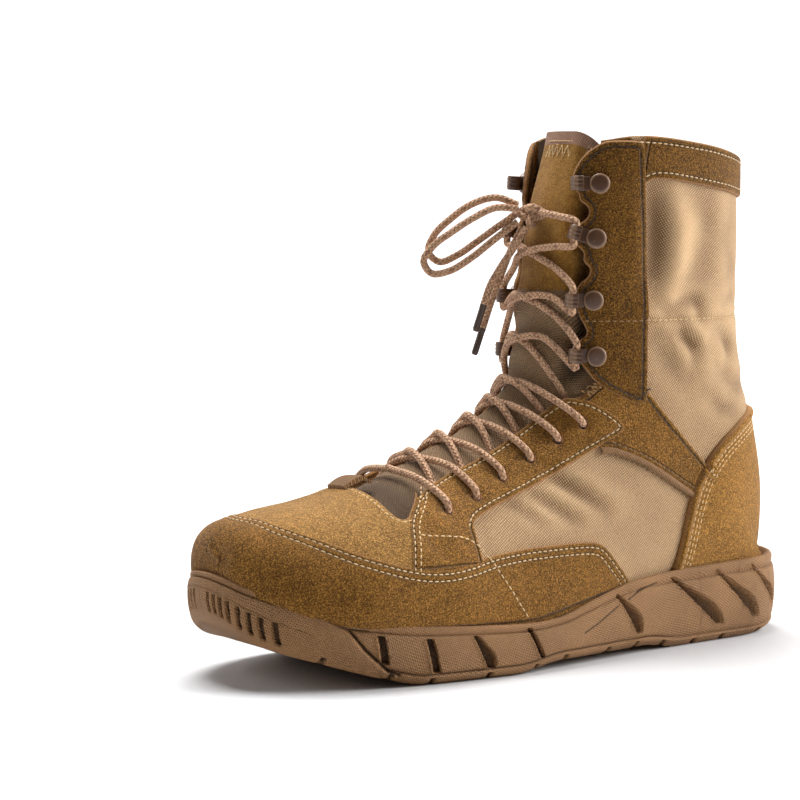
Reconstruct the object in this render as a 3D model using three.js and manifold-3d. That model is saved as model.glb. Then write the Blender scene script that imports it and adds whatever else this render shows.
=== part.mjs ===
import * as THREE from 'three';
import { mergeVertices } from 'three/addons/utils/BufferGeometryUtils.js';
import Module from 'manifold-3d';

const wasm = await Module();
wasm.setup();

// A lace-up combat boot for the left foot, in millimetres. The toe points to -X, the medial side to +Y.
// The origin is on the ground under the middle of the sole.

// Driving dimensions
const soleLength = 302;
const ballWidth = 108;
const heelWidth = 80;
const toeHeight = 69.5;
const instepHeight = 122;
const collarHeight = 232;
const collarDrop = 12;
const shaftWidth = 75;
const ankleWidth = 73;
const shaftDepth = 105;
const toeLift = 46;
const ballSole = 20;
const heelSole = 35;
const toeSpring = 31;
const archLift = 3;
const heelRise = 6;
const toeLedge = 6;
const sideLedge = 6.5;
const heelLedge = 7.5;
const lipHeight = 1.5;
const bumperRim = 5;
const treadThickness = 4.5;
const lugDepth = 3.2;
const lugSlot = 2.4;
const chevronDepth = 9;
const grooveWidth = 3.6;
const grooveDepth = 3;
const toeSlotWidth = 1.7;
const toeSlotDepth = 2.2;
const wall = 2.2;
const tongueThickness = 3;
const insoleThickness = 4;
const vampThickness = 1.4;
const eyestayThickness = 1.6;
const randThickness = 1.8;
const counterThickness = 1.8;
const ankleThickness = 1.3;
const pipingThickness = 2.4;
const pipingWidth = 3;
const bandThickness = 1.5;
const facingThickness = 1.8;
const tabThickness = 1.4;
const eyeletDiameter = 5;
const laceDiameter = 3.2;
const rivetDiameter = 9;
const hookWidth = 6.4;
const hookReach = 13;
const hookPlate = 1.1;
const hookMouth = 4.2;
const agletLength = 12;
const gap = 0.3;

const half = soleLength / 2;
const sideways = 90;

const along = (share) => share * soleLength;
const onFoot = (share) => toeHeight + share * (instepHeight - toeHeight);
const onShaft = (share) => instepHeight + share * (collarHeight - instepHeight);
const upHeel = (share) => heelSole + share * (collarHeight - heelSole);

// A smooth curve through rows that never swings past them
function smoothCurve(rows) {
  const at = rows.map((row) => row[0]);
  const value = rows.map((row) => row[1]);
  const last = rows.length - 1;
  const step = at.slice(1).map((x, i) => x - at[i]);
  const rise = step.map((h, i) => (value[i + 1] - value[i]) / h);
  const slope = value.map((v, i) => {
    if (i === 0) return rise[0];
    if (i === last) return rise[last - 1];
    if (rise[i - 1] * rise[i] <= 0) return 0;
    const before = 2 * step[i] + step[i - 1];
    const after = step[i] + 2 * step[i - 1];
    return (before + after) / (before / rise[i - 1] + after / rise[i]);
  });
  return (x) => {
    const held = Math.min(Math.max(x, at[0]), at[last]);
    let i = 0;
    while (i < last - 1 && held >= at[i + 1]) i += 1;
    const h = step[i];
    const t = (held - at[i]) / h;
    const start = (1 + 2 * t) * (1 - t) ** 2 * value[i] + t * (1 - t) ** 2 * h * slope[i];
    const end = t * t * (3 - 2 * t) * value[i + 1] + t * t * (t - 1) * h * slope[i + 1];
    return start + end;
  };
}

// Solids: closed meshes for joining and cutting
function solidOf(geometry) {
  const bare = geometry.clone();
  bare.deleteAttribute('normal');
  bare.deleteAttribute('uv');
  const merged = mergeVertices(bare, 1e-4);
  const index = merged.index.array;
  const corners = [];
  for (let i = 0; i < index.length; i += 3) {
    const [a, b, c] = [index[i], index[i + 1], index[i + 2]];
    if (a !== b && b !== c && c !== a) corners.push(a, b, c);
  }
  const vertProperties = Float32Array.from(merged.attributes.position.array);
  const triVerts = Uint32Array.from(corners);
  return new wasm.Manifold(new wasm.Mesh({ numProp: 3, vertProperties, triVerts }));
}

function solidFromQuads(points, triangles) {
  const geometry = new THREE.BufferGeometry();
  geometry.setAttribute('position', new THREE.Float32BufferAttribute(points.flat(), 3));
  geometry.setIndex(triangles);
  return solidOf(geometry);
}

function extruded(outline, depth) {
  const shape = new THREE.Shape(outline.map(([x, y]) => new THREE.Vector2(x, y)));
  return new THREE.ExtrudeGeometry(shape, { depth, steps: 1, bevelEnabled: false });
}

// A prism through the boot along Y from an outline of x and z
function sidePrism(outline, fromY, toY) {
  const geometry = extruded(outline, toY - fromY);
  geometry.rotateX(Math.PI / 2);
  geometry.translate(0, toY, 0);
  return solidOf(geometry);
}

// A prism along Z from an outline of x and y
function planPrism(outline, fromZ, toZ) {
  const geometry = extruded(outline, toZ - fromZ);
  geometry.translate(0, 0, fromZ);
  return solidOf(geometry);
}

// Sole outline. Rows: share of the length from the toe, share of ball width, share of heel width, lean
const outlineRows = [
  [0.0, 0.43, 0, 0.085],
  [0.15, 0.462, 0, 0.05],
  [0.3, 0.494, 0, 0.012],
  [0.38, 0.5, 0, 0],
  [0.5, 0.35, 0.135, -0.03],
  [0.62, 0.15, 0.33, -0.042],
  [0.75, 0.02, 0.466, -0.025],
  [0.88, 0, 0.5, 0],
  [1.0, 0, 0.5, 0],
];
const toeRound = 0.265;
const heelRound = 0.55;
const ballShare = smoothCurve(outlineRows.map((row) => [row[0], row[1]]));
const heelShare = smoothCurve(outlineRows.map((row) => [row[0], row[2]]));
const leanShare = smoothCurve(outlineRows.map((row) => [row[0], row[3]]));

function roundEnd(distance, reach, power) {
  const q = Math.min(Math.max(1 - distance / reach, 0), 1);
  return Math.max(1 - q ** power, 0) ** (1 / power);
}

function soleHalf(x, toeInset, sideInset, heelInset) {
  const share = (x + half) / soleLength;
  const full = ballShare(share) * ballWidth + heelShare(share) * heelWidth - sideInset;
  const toe = roundEnd(x + half - toeInset, toeRound * soleLength, 2.25);
  return full * toe * roundEnd(half - heelInset - x, heelRound * heelWidth, 2.35);
}

const soleMiddle = (x) => leanShare((x + half) / soleLength) * ballWidth;

// Heights along the sole. Rows: share of the length from the toe, then the height from named sizes
const seatCurve = smoothCurve([
  [0.0, toeLift],
  [0.03, ballSole + 0.75 * (toeLift - ballSole)],
  [0.08, ballSole + 0.5 * (toeLift - ballSole)],
  [0.14, ballSole + 0.29 * (toeLift - ballSole)],
  [0.21, ballSole + 0.17 * (toeLift - ballSole)],
  [0.31, ballSole + 0.08 * (toeLift - ballSole)],
  [0.44, ballSole],
  [0.475, ballSole + 0.03 * (heelSole - ballSole)],
  [0.55, ballSole + 0.4 * (heelSole - ballSole)],
  [0.64, ballSole + 0.8 * (heelSole - ballSole)],
  [0.77, ballSole + 0.93 * (heelSole - ballSole)],
  [1.0, heelSole],
]);
const bottomCurve = smoothCurve([
  [0.0, toeSpring],
  [0.012, 0.86 * toeSpring],
  [0.03, 0.68 * toeSpring],
  [0.06, 0.53 * toeSpring],
  [0.115, 0.35 * toeSpring],
  [0.19, 0.13 * toeSpring],
  [0.25, 0],
  [0.4, 0],
  [0.49, archLift],
  [0.66, archLift],
  [0.74, 0],
  [0.91, 0],
  [0.96, 0.3 * heelRise],
  [1.0, heelRise],
]);
const rimCurve = smoothCurve([
  [0.0, 0.6 * bumperRim],
  [0.08, bumperRim],
  [0.108, 0.9 * bumperRim],
  [0.14, lipHeight],
  [1.0, lipHeight],
]);
const seatHeight = (x) => seatCurve((x + half) / soleLength);
const bottomHeight = (x) => bottomCurve((x + half) / soleLength);
const rimHeight = (x) => seatHeight(x) + rimCurve((x + half) / soleLength);

// A loft of rings around the sole. Rows: share of the side's height, inset from the outline
function soleLoft(levels, bottom, top) {
  const stations = 18;
  const ringSize = 2 * stations;
  const points = [];
  const triangles = [];
  for (const [share, inset] of levels) {
    for (let i = 0; i < ringSize; i += 1) {
      const turn = i <= stations ? i : ringSize - i;
      const x = -Math.cos((Math.PI * turn) / stations) * (half - inset);
      const side = i <= stations ? -1 : 1;
      const width = soleHalf(x, inset, inset, inset);
      const z = bottom(x) + share * (top(x) - bottom(x));
      points.push([x, soleMiddle(x) + side * width, z]);
    }
  }
  for (let level = 0; level < levels.length - 1; level += 1) {
    for (let i = 0; i < ringSize; i += 1) {
      const a = level * ringSize + i;
      const b = level * ringSize + ((i + 1) % ringSize);
      triangles.push(a, b, b + ringSize, a, b + ringSize, a + ringSize);
    }
  }
  const roof = (levels.length - 1) * ringSize;
  for (let i = 0; i < stations; i += 1) {
    const j = (ringSize - i) % ringSize;
    const k = ringSize - i - 1;
    triangles.push(i, j, i + 1, j, k, i + 1);
    triangles.push(roof + i, roof + i + 1, roof + j, roof + j, roof + i + 1, roof + k);
  }
  return solidFromQuads(points, triangles);
}

// Upper: a fan of sections from the ridge over the toe, instep and shaft to the sole and the heel's back.
// Rows: place in the fan, ridge x and z, foot x and z, half width, share down to the widest point,
// roundness of the top, lean of the ridge towards the big toe
const tuck = 3;
const tucked = (share) => seatHeight(along(share)) - tuck;
const collarBack = along(0.4305);
const shaftFront = collarBack - shaftDepth;
const lean = 0.0833 * ballWidth;
const ball = (share) => share * ballWidth;
const shinLine = (share) => shaftFront - share * soleLength;
const fanRows = [
  [0.0, along(-0.486), 0.805 * toeHeight, along(-0.486), 0.805 * toeHeight, 0, 0.62, 2.2, lean],
  [0.03, along(-0.48), 0.9 * toeHeight, along(-0.48), 0.705 * toeHeight, ball(0.134), 0.66, 2.2, lean],
  [0.06, along(-0.4636), 0.95 * toeHeight, along(-0.4636), tucked(-0.4636), ball(0.222), 0.72, 2.2, 0.94 * lean],
  [0.09, along(-0.442), 0.973 * toeHeight, along(-0.442), tucked(-0.442), ball(0.287), 0.76, 2.2, 0.89 * lean],
  [0.13, along(-0.404), toeHeight, along(-0.404), tucked(-0.404), ball(0.366), 0.78, 2.25, 0.78 * lean],
  [0.28, along(-0.298), onFoot(0.105), along(-0.298), tucked(-0.298), ball(0.458), 0.74, 2.1, 0.67 * lean],
  [0.41, along(-0.1987), onFoot(0.276), along(-0.192), tucked(-0.192), ball(0.463), 0.76, 1.95, 0.67 * lean],
  [0.52, along(-0.106), onFoot(0.505), along(-0.0728), tucked(-0.0728), ball(0.426), 0.78, 1.8, 0.72 * lean],
  [0.6, along(-0.0265), onFoot(0.733), along(0.05), tucked(0.05), ball(0.389), 0.76, 1.75, 0.67 * lean],
  [0.68, shinLine(0.06), onShaft(0), along(0.1987), tucked(0.1987), ball(0.3565), 0.7, 1.9, 0.44 * lean],
  [0.75, shinLine(0.043), onShaft(0.145), along(0.364), tucked(0.364), 0.507 * ankleWidth, 0.6, 2.1, 0.22 * lean],
  [0.8, shinLine(0.038), onShaft(0.255), along(0.475), tucked(0.475), 0.5 * ankleWidth, 0.56, 2.25, 0.13 * lean],
  [0.83, shinLine(0.035), onShaft(0.336), along(0.4834), upHeel(0.117), 0.5 * ankleWidth, 0.54, 2.3, 0.09 * lean],
  [0.88, shinLine(0.028), onShaft(0.49), along(0.462), upHeel(0.315), 0.5 * ankleWidth, 0.52, 2.3, 0],
  [0.94, shinLine(0.015), onShaft(0.745), along(0.4288), upHeel(0.61), 0.4933 * shaftWidth, 0.5, 2.1, 0],
  [1.0, shaftFront, onShaft(1.055), collarBack, upHeel(1.005), 0.5 * shaftWidth, 0.5, 2, 0],
];
const fanColumns = [1, 2, 3, 4, 5, 6, 7, 8];
const fanCurves = fanColumns.map((column) => smoothCurve(fanRows.map((row) => [row[0], row[column]])));

// How far a section's foot follows the sole's outline, 1, or closes behind the heel or the toe, 0
function opening(footX, footZ) {
  const over = footZ - seatHeight(footX);
  const k = Math.min(Math.max(1 - (over - 4) / 8, 0), 1);
  return k * k * (3 - 2 * k);
}

// One side of a section as points at even steps along it, from the ridge down to the foot
function sectionSide(place, side, steps) {
  const [ridgeX, ridgeZ, footX, footZ, widest, peak, roundness, ridgeY] = fanCurves.map((curve) => curve(place));
  const open = opening(footX, footZ);
  const footHalf = open * soleHalf(footX, toeLedge, sideLedge, heelLedge);
  const footY = open * soleMiddle(footX);
  const full = Math.max(widest, footHalf);
  const samples = 120;
  const line = [];
  const run = [0];
  for (let i = 0; i <= samples; i += 1) {
    const s = 0.5 - 0.5 * Math.cos((Math.PI * i) / samples);
    const lower = Math.min(Math.max((s - peak) / (1 - peak), 0), 1);
    const upper = full * Math.max(1 - (1 - Math.min(s / peak, 1)) ** roundness, 0) ** (1 / roundness);
    const under = Math.sqrt(Math.max(footHalf ** 2 + (full ** 2 - footHalf ** 2) * (1 - lower ** 2), 0));
    const width = s < peak ? upper : under;
    const y = ridgeY + (footY - ridgeY) * s + side * width;
    const point = new THREE.Vector3(ridgeX + (footX - ridgeX) * s, y, ridgeZ + (footZ - ridgeZ) * s);
    if (i > 0) run.push(run[i - 1] + point.distanceTo(line[i - 1]));
    line.push(point);
  }
  const result = [];
  for (const step of steps) {
    const target = step * run[samples];
    let i = 1;
    while (i < samples && run[i] < target) i += 1;
    const share = run[i] > run[i - 1] ? (target - run[i - 1]) / (run[i] - run[i - 1]) : 0;
    result.push(line[i - 1].clone().lerp(line[i], share));
  }
  return result;
}

// A point of the upper's surface at a place in the fan and a share of the way down a side,
// negative on the lateral side, and lifted off the surface
function surfacePoint(place, down, lift = 0) {
  const at = (p, d) => sectionSide(p, Math.sign(d) || 1, [Math.abs(d)])[0];
  const here = at(place, down);
  if (lift === 0) return here;
  const h = 0.004;
  const acrossStep = at(place, down + h).sub(at(place, down - h));
  const alongStep = at(place + h, down).sub(at(place - h, down));
  const normal = acrossStep.cross(alongStep).normalize();
  return here.addScaledVector(normal, -lift);
}

const fanPlaces = [
  0, 0.015, 0.04, 0.08, 0.13, 0.2, 0.28, 0.36, 0.44, 0.52, 0.6, 0.66, 0.71, 0.76, 0.8, 0.84, 0.91, 1,
];
const sideColumns = 8;
const columnCount = 2 * sideColumns + 1;
const columnSteps = Array.from({ length: sideColumns + 1 }, (_, i) => i / sideColumns);
const baseGrid = fanPlaces.map((place) => {
  const lateral = sectionSide(place, -1, columnSteps).reverse();
  const medial = sectionSide(place, 1, columnSteps);
  return [...lateral, ...medial.slice(1)];
});

const rowClosed = baseGrid.map((row) => row[0].distanceTo(row[columnCount - 1]) < 0.01);
const gridNormals = baseGrid.map((row, i) =>
  row.map((point, j) => {
    if (i === 0) return new THREE.Vector3(-1, 0, 0);
    const closed = rowClosed[i];
    const seam = closed && (j === 0 || j === columnCount - 1);
    const before = seam ? row[columnCount - 2] : row[Math.max(j - 1, 0)];
    const after = seam ? row[1] : row[Math.min(j + 1, columnCount - 1)];
    const up = baseGrid[Math.min(i + 1, baseGrid.length - 1)][j];
    const down = baseGrid[i - 1][j];
    const across = after.clone().sub(before);
    const along3 = up.clone().sub(down);
    const normal = along3.cross(across).normalize();
    if (seam) normal.setY(0).normalize();
    return normal;
  }),
);

// The same point on the facets of the last's grid, where pieces seat on it
function facetPoint(place, down, lift) {
  const corner = (i, j) => baseGrid[i][j].clone().addScaledVector(gridNormals[i][j], lift);
  let row = 0;
  while (row < fanPlaces.length - 2 && place >= fanPlaces[row + 1]) row += 1;
  const t = (place - fanPlaces[row]) / (fanPlaces[row + 1] - fanPlaces[row]);
  const column = Math.min(Math.floor((down + 1) * sideColumns), columnCount - 2);
  const s = (down + 1) * sideColumns - column;
  const near = corner(row, column);
  const far = corner(row + 1, column + 1);
  const turn = t >= s ? corner(row + 1, column) : corner(row, column + 1);
  const [first, second] = t >= s ? [t, s] : [s, t];
  return near.clone().lerp(turn, first).add(far.sub(turn).multiplyScalar(second));
}

// The whole last as a closed solid, grown or shrunk from the upper's surface by a lift
function lastForm(lift) {
  const points = [];
  baseGrid.forEach((row, i) => {
    row.forEach((point, j) => {
      points.push(point.clone().addScaledVector(gridNormals[i][j], lift).toArray());
    });
  });
  const triangles = [];
  const id = (i, j) => i * columnCount + j;
  const last = baseGrid.length - 1;
  for (let i = 0; i < last; i += 1) {
    for (let j = 0; j < columnCount - 1; j += 1) {
      triangles.push(id(i, j), id(i + 1, j), id(i + 1, j + 1), id(i, j), id(i + 1, j + 1), id(i, j + 1));
    }
    const far = columnCount - 1;
    triangles.push(id(i, 0), id(i, far), id(i + 1, far), id(i, 0), id(i + 1, far), id(i + 1, 0));
  }
  for (let j = 0; j < sideColumns; j += 1) {
    const far = columnCount - 1 - j;
    triangles.push(id(last, j), id(last, far), id(last, far - 1), id(last, j), id(last, far - 1), id(last, j + 1));
  }
  return solidFromQuads(points, triangles);
}

// A block of space above a stretch of the upper's surface. Rows: place in the fan, lateral share, medial share
function surfaceBlock(rows, low, high) {
  const columns = 6;
  const width = columns + 1;
  const points = [];
  for (const lift of [low, high]) {
    for (const [place, lateral, medial] of rows) {
      for (let j = 0; j <= columns; j += 1) {
        const down = -lateral + ((lateral + medial) * j) / columns;
        points.push(surfacePoint(place, down, lift).toArray());
      }
    }
  }
  const layer = rows.length * width;
  const triangles = [];
  const quad = (a, b, c, d) => triangles.push(a, b, c, a, c, d);
  for (let i = 0; i < rows.length - 1; i += 1) {
    for (let j = 0; j < columns; j += 1) {
      const a = i * width + j;
      quad(a, a + 1, a + width + 1, a + width);
      quad(layer + a, layer + a + width, layer + a + width + 1, layer + a + 1);
    }
    const b = i * width;
    quad(b, b + width, layer + b + width, layer + b);
    const c = b + columns;
    quad(c, layer + c, layer + c + width, c + width);
  }
  for (let j = 0; j < columns; j += 1) {
    quad(j, layer + j, layer + j + 1, j + 1);
    const e = (rows.length - 1) * width + j;
    quad(e, e + 1, layer + e + 1, layer + e);
  }
  return solidFromQuads(points, triangles);
}

// Throat: where the upper is open over the tongue. Rows: place in the fan, share down each side
const throatRows = [
  [0.335, 0.4],
  [0.352, 0.42],
  [0.375, 0.38],
  [0.4, 0.32],
  [0.425, 0.285],
  [0.48, 0.245],
  [0.545, 0.232],
  [0.605, 0.217],
  [0.656, 0.212],
  [0.702, 0.222],
  [0.738, 0.25],
  [0.765, 0.25],
  [0.79, 0.205],
  [0.82, 0.19],
  [0.88, 0.19],
  [0.95, 0.19],
  [1.0, 0.2],
];
const throatReach = 16;
const throatEdges = throatRows.map(([place, share]) => [place, share, share]);
const throat = surfaceBlock(throatEdges, -throatReach, throatReach);

// The band of the boot between the sole's seat and the collar's edge
function seatLine(raise) {
  const steps = 14;
  return Array.from({ length: steps + 1 }, (_, i) => {
    const x = -half - 10 + ((soleLength + 20) * i) / steps;
    return [x, seatHeight(x) + raise];
  });
}
const collarRows = [
  [0.05, 0.25],
  [0.106, 0.22],
  [0.171, 0],
  [0.275, 0.25],
  [0.38, 0.7],
  [0.434, 1],
];
const collarLine = collarRows.map(([share, drop]) => [along(share), collarHeight - drop * collarDrop]);
const collarStart = [-half - 10, collarLine[0][1]];
const collarEnd = [half + 10, collarLine[collarLine.length - 1][1] - 1];
const bandEdge = [...seatLine(gap), collarEnd, ...[...collarLine].reverse(), collarStart];
const bootBand = sidePrism(bandEdge, -sideways, sideways);

const outerForm = lastForm(0);
const innerForm = lastForm(-wall);
const panelForm = lastForm(gap);

// Eyelets, from the toe up. Rows: place in the fan, share down each side
const eyeletRows = [
  [0.44, 0.417],
  [0.502, 0.389],
  [0.554, 0.35],
  [0.602, 0.333],
  [0.654, 0.322],
  [0.702, 0.322],
];
const sides = [
  ['lateral', -1],
  ['medial', 1],
];

function eyeletCutter(place, down) {
  const base = surfacePoint(place, down);
  const normal = surfacePoint(place, down, 5).sub(base).normalize();
  const punch = new THREE.CylinderGeometry(eyeletDiameter / 2, eyeletDiameter / 2, 16, 6);
  punch.applyQuaternion(new THREE.Quaternion().setFromUnitVectors(new THREE.Vector3(0, 1, 0), normal));
  punch.translate(base.x, base.y, base.z);
  return solidOf(punch);
}
const eyelets = {};
for (const [side, sign] of sides) {
  eyelets[side] = eyeletRows.map(([place, share]) => eyeletCutter(place, sign * share));
}
const without = (solid, cutters) => cutters.reduce((rest, cutter) => rest.subtract(cutter), solid);

// Upper, one hollow shell with its real wall
const shell = outerForm.subtract(innerForm).intersect(bootBand).subtract(throat);
const upper = without(shell, [...eyelets.lateral, ...eyelets.medial]);

// Overlays are cut between two larger forms by an outline seen from the side
const sideRange = { lateral: [-sideways, 0], medial: [0, sideways], both: [-sideways, sideways] };
const outlinePoints = (rows) => rows.map(([share, z]) => [along(share), z]);
const shifted = (points, dx, dz) => points.map(([x, z]) => [x + dx, z + dz]);

function overlay(thickness, outline, side) {
  const skin = lastForm(gap + thickness).subtract(panelForm);
  return skin.intersect(sidePrism(outline, ...sideRange[side])).intersect(bootBand);
}

const randEdge = outlinePoints([
  [-0.434, 1.03 * toeHeight],
  [-0.434, 0.982 * toeHeight],
  [-0.422, 0.965 * toeHeight],
  [-0.407, 0.938 * toeHeight],
  [-0.366, 0.866 * toeHeight],
  [-0.3235, 0.786 * toeHeight],
  [-0.2705, 0.715 * toeHeight],
  [-0.2195, 0.683 * toeHeight],
  [-0.17, 0.7 * toeHeight],
  [-0.128, 0.734 * toeHeight],
  [-0.075, 0.752 * toeHeight],
  [-0.025, 0.761 * toeHeight],
  [0.05, 0.763 * toeHeight],
  [0.07, 0.75 * toeHeight],
  [0.083, 0.722 * toeHeight],
  [0.108, 0.6 * toeHeight],
  [0.13, 0.495 * toeHeight],
  [0.145, 0.3 * toeHeight],
]);
const eyestayFront = outlinePoints([
  [-0.267, onFoot(-0.352)],
  [-0.256, onFoot(-0.2)],
  [-0.2437, onFoot(-0.051)],
  [-0.2076, onFoot(0.105)],
  [-0.192, onFoot(0.2)],
  [-0.192, onFoot(0.9)],
]);
const eyestayRear = outlinePoints([
  [-0.1417, onFoot(-0.5)],
  [-0.1417, onFoot(-0.13)],
  [-0.1364, onFoot(-0.074)],
  [-0.1, onFoot(0.004)],
  [-0.0447, onFoot(0.1)],
  [0.0169, onFoot(0.229)],
  [0.101, onFoot(0.453)],
  [0.138, onFoot(0.55)],
  [0.1465, onFoot(0.585)],
  [0.1477, onFoot(0.62)],
  [0.141, onFoot(0.67)],
  [0.1245, onFoot(0.75)],
  [0.097, onFoot(0.848)],
  [0.0778, onFoot(0.867)],
  [0.02, onFoot(0.9)],
]);
const counterEdge = outlinePoints([
  [0.225, 0.2 * toeHeight],
  [0.2325, onFoot(-0.613)],
  [0.2536, onFoot(-0.276)],
  [0.2712, onFoot(0.002)],
  [0.2745, onFoot(0.137)],
  [0.2937, onFoot(0.269)],
  [0.33, onFoot(0.448)],
  [0.3685, onFoot(0.562)],
  [0.3957, onFoot(0.625)],
  [0.457, onFoot(0.705)],
  [0.54, onFoot(0.75)],
]);
const ankleLower = outlinePoints([
  [0.104, onFoot(0.432)],
  [0.1225, onFoot(0.442)],
  [0.1735, onFoot(0.33)],
  [0.2219, onFoot(0.173)],
  [0.2675, onFoot(0.018)],
]);
const ankleUpper = outlinePoints([
  [0.292, onFoot(0.278)],
  [0.2358, onFoot(0.6)],
  [0.1895, onFoot(0.9)],
]);
const facingFoot = outlinePoints([
  [0.1865, onShaft(-0.082)],
  [0.1755, onShaft(-0.1)],
  [0.1096, onShaft(-0.015)],
  [0.092, onShaft(0.065)],
]);
const facingRear = 0.1795;

const roof = 1.2 * collarHeight;
const randOutline = [[-half - 10, -10], [along(0.15), -10], ...[...randEdge].reverse(), [-half - 10, randEdge[0][1]]];
const joinX = 1.35 * gap;
const joinZ = 1.35 * gap;
const vampLower = shifted(randEdge, joinX, joinZ).filter(([x]) => x < eyestayFront[0][0] - 2 * joinX);
const vampRear = shifted(eyestayFront, -joinX, 0);
const vampOutline = [[vampLower[0][0], roof], ...vampLower, ...vampRear, [vampRear[vampRear.length - 1][0], roof]];
const firstX = eyestayFront[0][0];
const rearX = eyestayRear[0][0];
const underEyestay = shifted(randEdge, 0, joinZ).filter(([x]) => x > firstX && x < rearX);
const eyestayOutline = [
  [firstX, randEdge[6][1] + joinZ],
  ...underEyestay,
  [rearX, randEdge[9][1] + joinZ - 0.1 * gap],
  ...eyestayRear.slice(1),
  ...[...eyestayFront].reverse().slice(0, -1),
];
const counterOutline = [...counterEdge, [half + 20, counterEdge[counterEdge.length - 1][1]], [half + 20, 0]];
const ankleRear = shifted([counterEdge[3], counterEdge[4]], -joinX, 0);
const eyestayTip = [
  ...shifted(eyestayRear.slice(7, 8), joinX, -joinZ),
  ...shifted(eyestayRear.slice(8, 10), 1.5 * joinX, 0),
  ...shifted(eyestayRear.slice(10, 14), joinX, joinZ),
];
const ankleOutline = [
  ankleLower[0],
  ...ankleLower.slice(1),
  ...ankleRear,
  ...ankleUpper,
  ...shifted(facingFoot, 0, -2 * joinZ),
  [0, facingFoot[facingFoot.length - 1][1] - 2 * joinZ],
  [0, eyestayTip[eyestayTip.length - 1][1]],
  ...[...eyestayTip].reverse(),
];
const pipingOutline = [
  ...shifted(ankleLower, 0, -joinZ),
  ...shifted(ankleLower, 0, -joinZ - pipingWidth).reverse(),
];

// The facing's front edge swells at each hook. Rows: height on the shaft, share of the length
const facingFront = outlinePoints([
  [0.085, onShaft(0.13)],
  [0.094, onShaft(0.222)],
  [0.0835, onShaft(0.35)],
  [0.094, onShaft(0.469)],
  [0.086, onShaft(0.578)],
  [0.097, onShaft(0.702)],
  [0.089, onShaft(0.78)],
  [0.091, onShaft(0.849)],
  [0.1046, onShaft(0.926)],
  [0.1225, onShaft(0.965)],
]);
const facingTop = onShaft(0.978);
const facingOutline = [
  ...facingFoot,
  ...facingFront,
  [along(0.13), facingTop],
  [along(facingRear - 0.008), facingTop],
  [along(facingRear), facingTop - 0.008 * soleLength],
  [along(facingRear + 0.007), facingFoot[0][1] + 0.012 * soleLength],
];
const bandLower = outlinePoints([
  [facingRear, onShaft(0.793)],
  [0.1937, onShaft(0.831)],
  [0.2573, onShaft(0.808)],
  [0.3778, onShaft(0.758)],
  [0.434, onShaft(0.736)],
  [0.54, onShaft(0.72)],
]);
const bandStart = along(facingRear) + joinX + 0.5;
const bandOutline = [
  [bandStart, bandLower[0][1]],
  ...bandLower.slice(1),
  [half + 20, roof],
  [bandStart, roof],
];

const pieces = [];
const add = (name, solid, finish) => pieces.push({ name, solid, finish });

// Finishes: colour, roughness, metalness
const finishes = {
  suede: ['#8a5f2c', 0.95, 0],
  cloth: ['#9a7a4c', 0.85, 0],
  rubber: ['#a5774c', 0.8, 0],
  lining: ['#7d6546', 0.9, 0],
  lace: ['#977354', 0.75, 0],
  paint: ['#5c452f', 0.45, 0.3],
};

// Sole: one outline with a rounded foot, a swelling side and a lip, cut apart at the tread line
const sideLevels = [
  [0.0, 5],
  [0.08, 1.8],
  [0.5, 0],
  [0.8, 0.7],
  [0.84, 2],
  [0.9, 1.1],
  [1.0, 2.2],
];
const thickestPanel = randThickness;
const footSpace = lastForm(2 * gap + thickestPanel).intersect(
  sidePrism([...seatLine(0), [half + 10, roof], [-half - 10, roof]], -sideways, sideways),
);
const soleBody = soleLoft(sideLevels, bottomHeight, rimHeight).subtract(footSpace);

const bumperTop = -0.362;
const bumperFoot = -0.31;
const treadTop = (x) => bottomHeight(x) + treadThickness;
const treadSteps = 22;
const treadLine = Array.from({ length: treadSteps + 1 }, (_, i) => {
  const x = half + 10 + ((along(bumperFoot) - half - 10) * i) / treadSteps;
  return [x, treadTop(x)];
});
const bumperLine = [
  [along(bumperFoot - 0.025), treadTop(along(bumperFoot)) + 0.35 * ballSole],
  [along(bumperTop + 0.006), seatHeight(along(bumperTop))],
  [along(bumperTop), roof],
];
const partingLine = [...treadLine, ...bumperLine];
const outsoleSpace = sidePrism(
  [[-half - 10, -10], [half + 10, -10], ...partingLine, [-half - 10, roof]],
  -sideways,
  sideways,
);
const midsoleSpace = sidePrism([...shifted(partingLine, gap, gap), [half + 20, roof]], -sideways, sideways);

// Lugs are what the chevron slots leave. Places as shares of the length
const slotPlaces = [
  -0.41, -0.318, -0.255, -0.162, -0.08, -0.022, 0.066, 0.126, 0.185, 0.25, 0.311, 0.392, 0.447,
];
const chevrons = slotPlaces.map((share) => {
  const x = along(share);
  const rear = lugSlot / 2;
  const outline = [
    [x - rear, -sideways],
    [x + rear, -sideways],
    [x + rear + chevronDepth, 0],
    [x + rear, sideways],
    [x - rear, sideways],
    [x - rear + chevronDepth, 0],
  ];
  return planPrism(outline, -10, Math.min(bottomHeight(x), bottomHeight(x + chevronDepth)) + lugDepth);
});

// Toe slots, radial cuts around the front of the bumper. Places as shares of ball width off the middle
const toeSlotShare = 0.62;
const toeSlotPlaces = [0.05, 0.083, 0.115, 0.147, 0.186, 0.221, 0.256, 0.292];
function toeSlot(offset, side) {
  let [near, far] = [-half, -half + 0.2 * soleLength];
  for (let i = 0; i < 40; i += 1) {
    const x = (near + far) / 2;
    if (soleHalf(x, 0, 0, 0) < offset * ballWidth) near = x;
    else far = x;
  }
  const y = soleMiddle(near) + side * offset * ballWidth;
  const rise = rimHeight(near) - bottomHeight(near);
  const height = toeSlotShare * rise;
  const slot = new THREE.BoxGeometry(2 * toeSlotDepth, toeSlotWidth, height);
  const centre = new THREE.Vector2(-half + 0.2 * soleLength, soleMiddle(-half));
  slot.rotateZ(Math.atan2(y - centre.y, near - centre.x));
  slot.translate(near, y, bottomHeight(near) + 0.45 * rise);
  return solidOf(slot);
}
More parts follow.
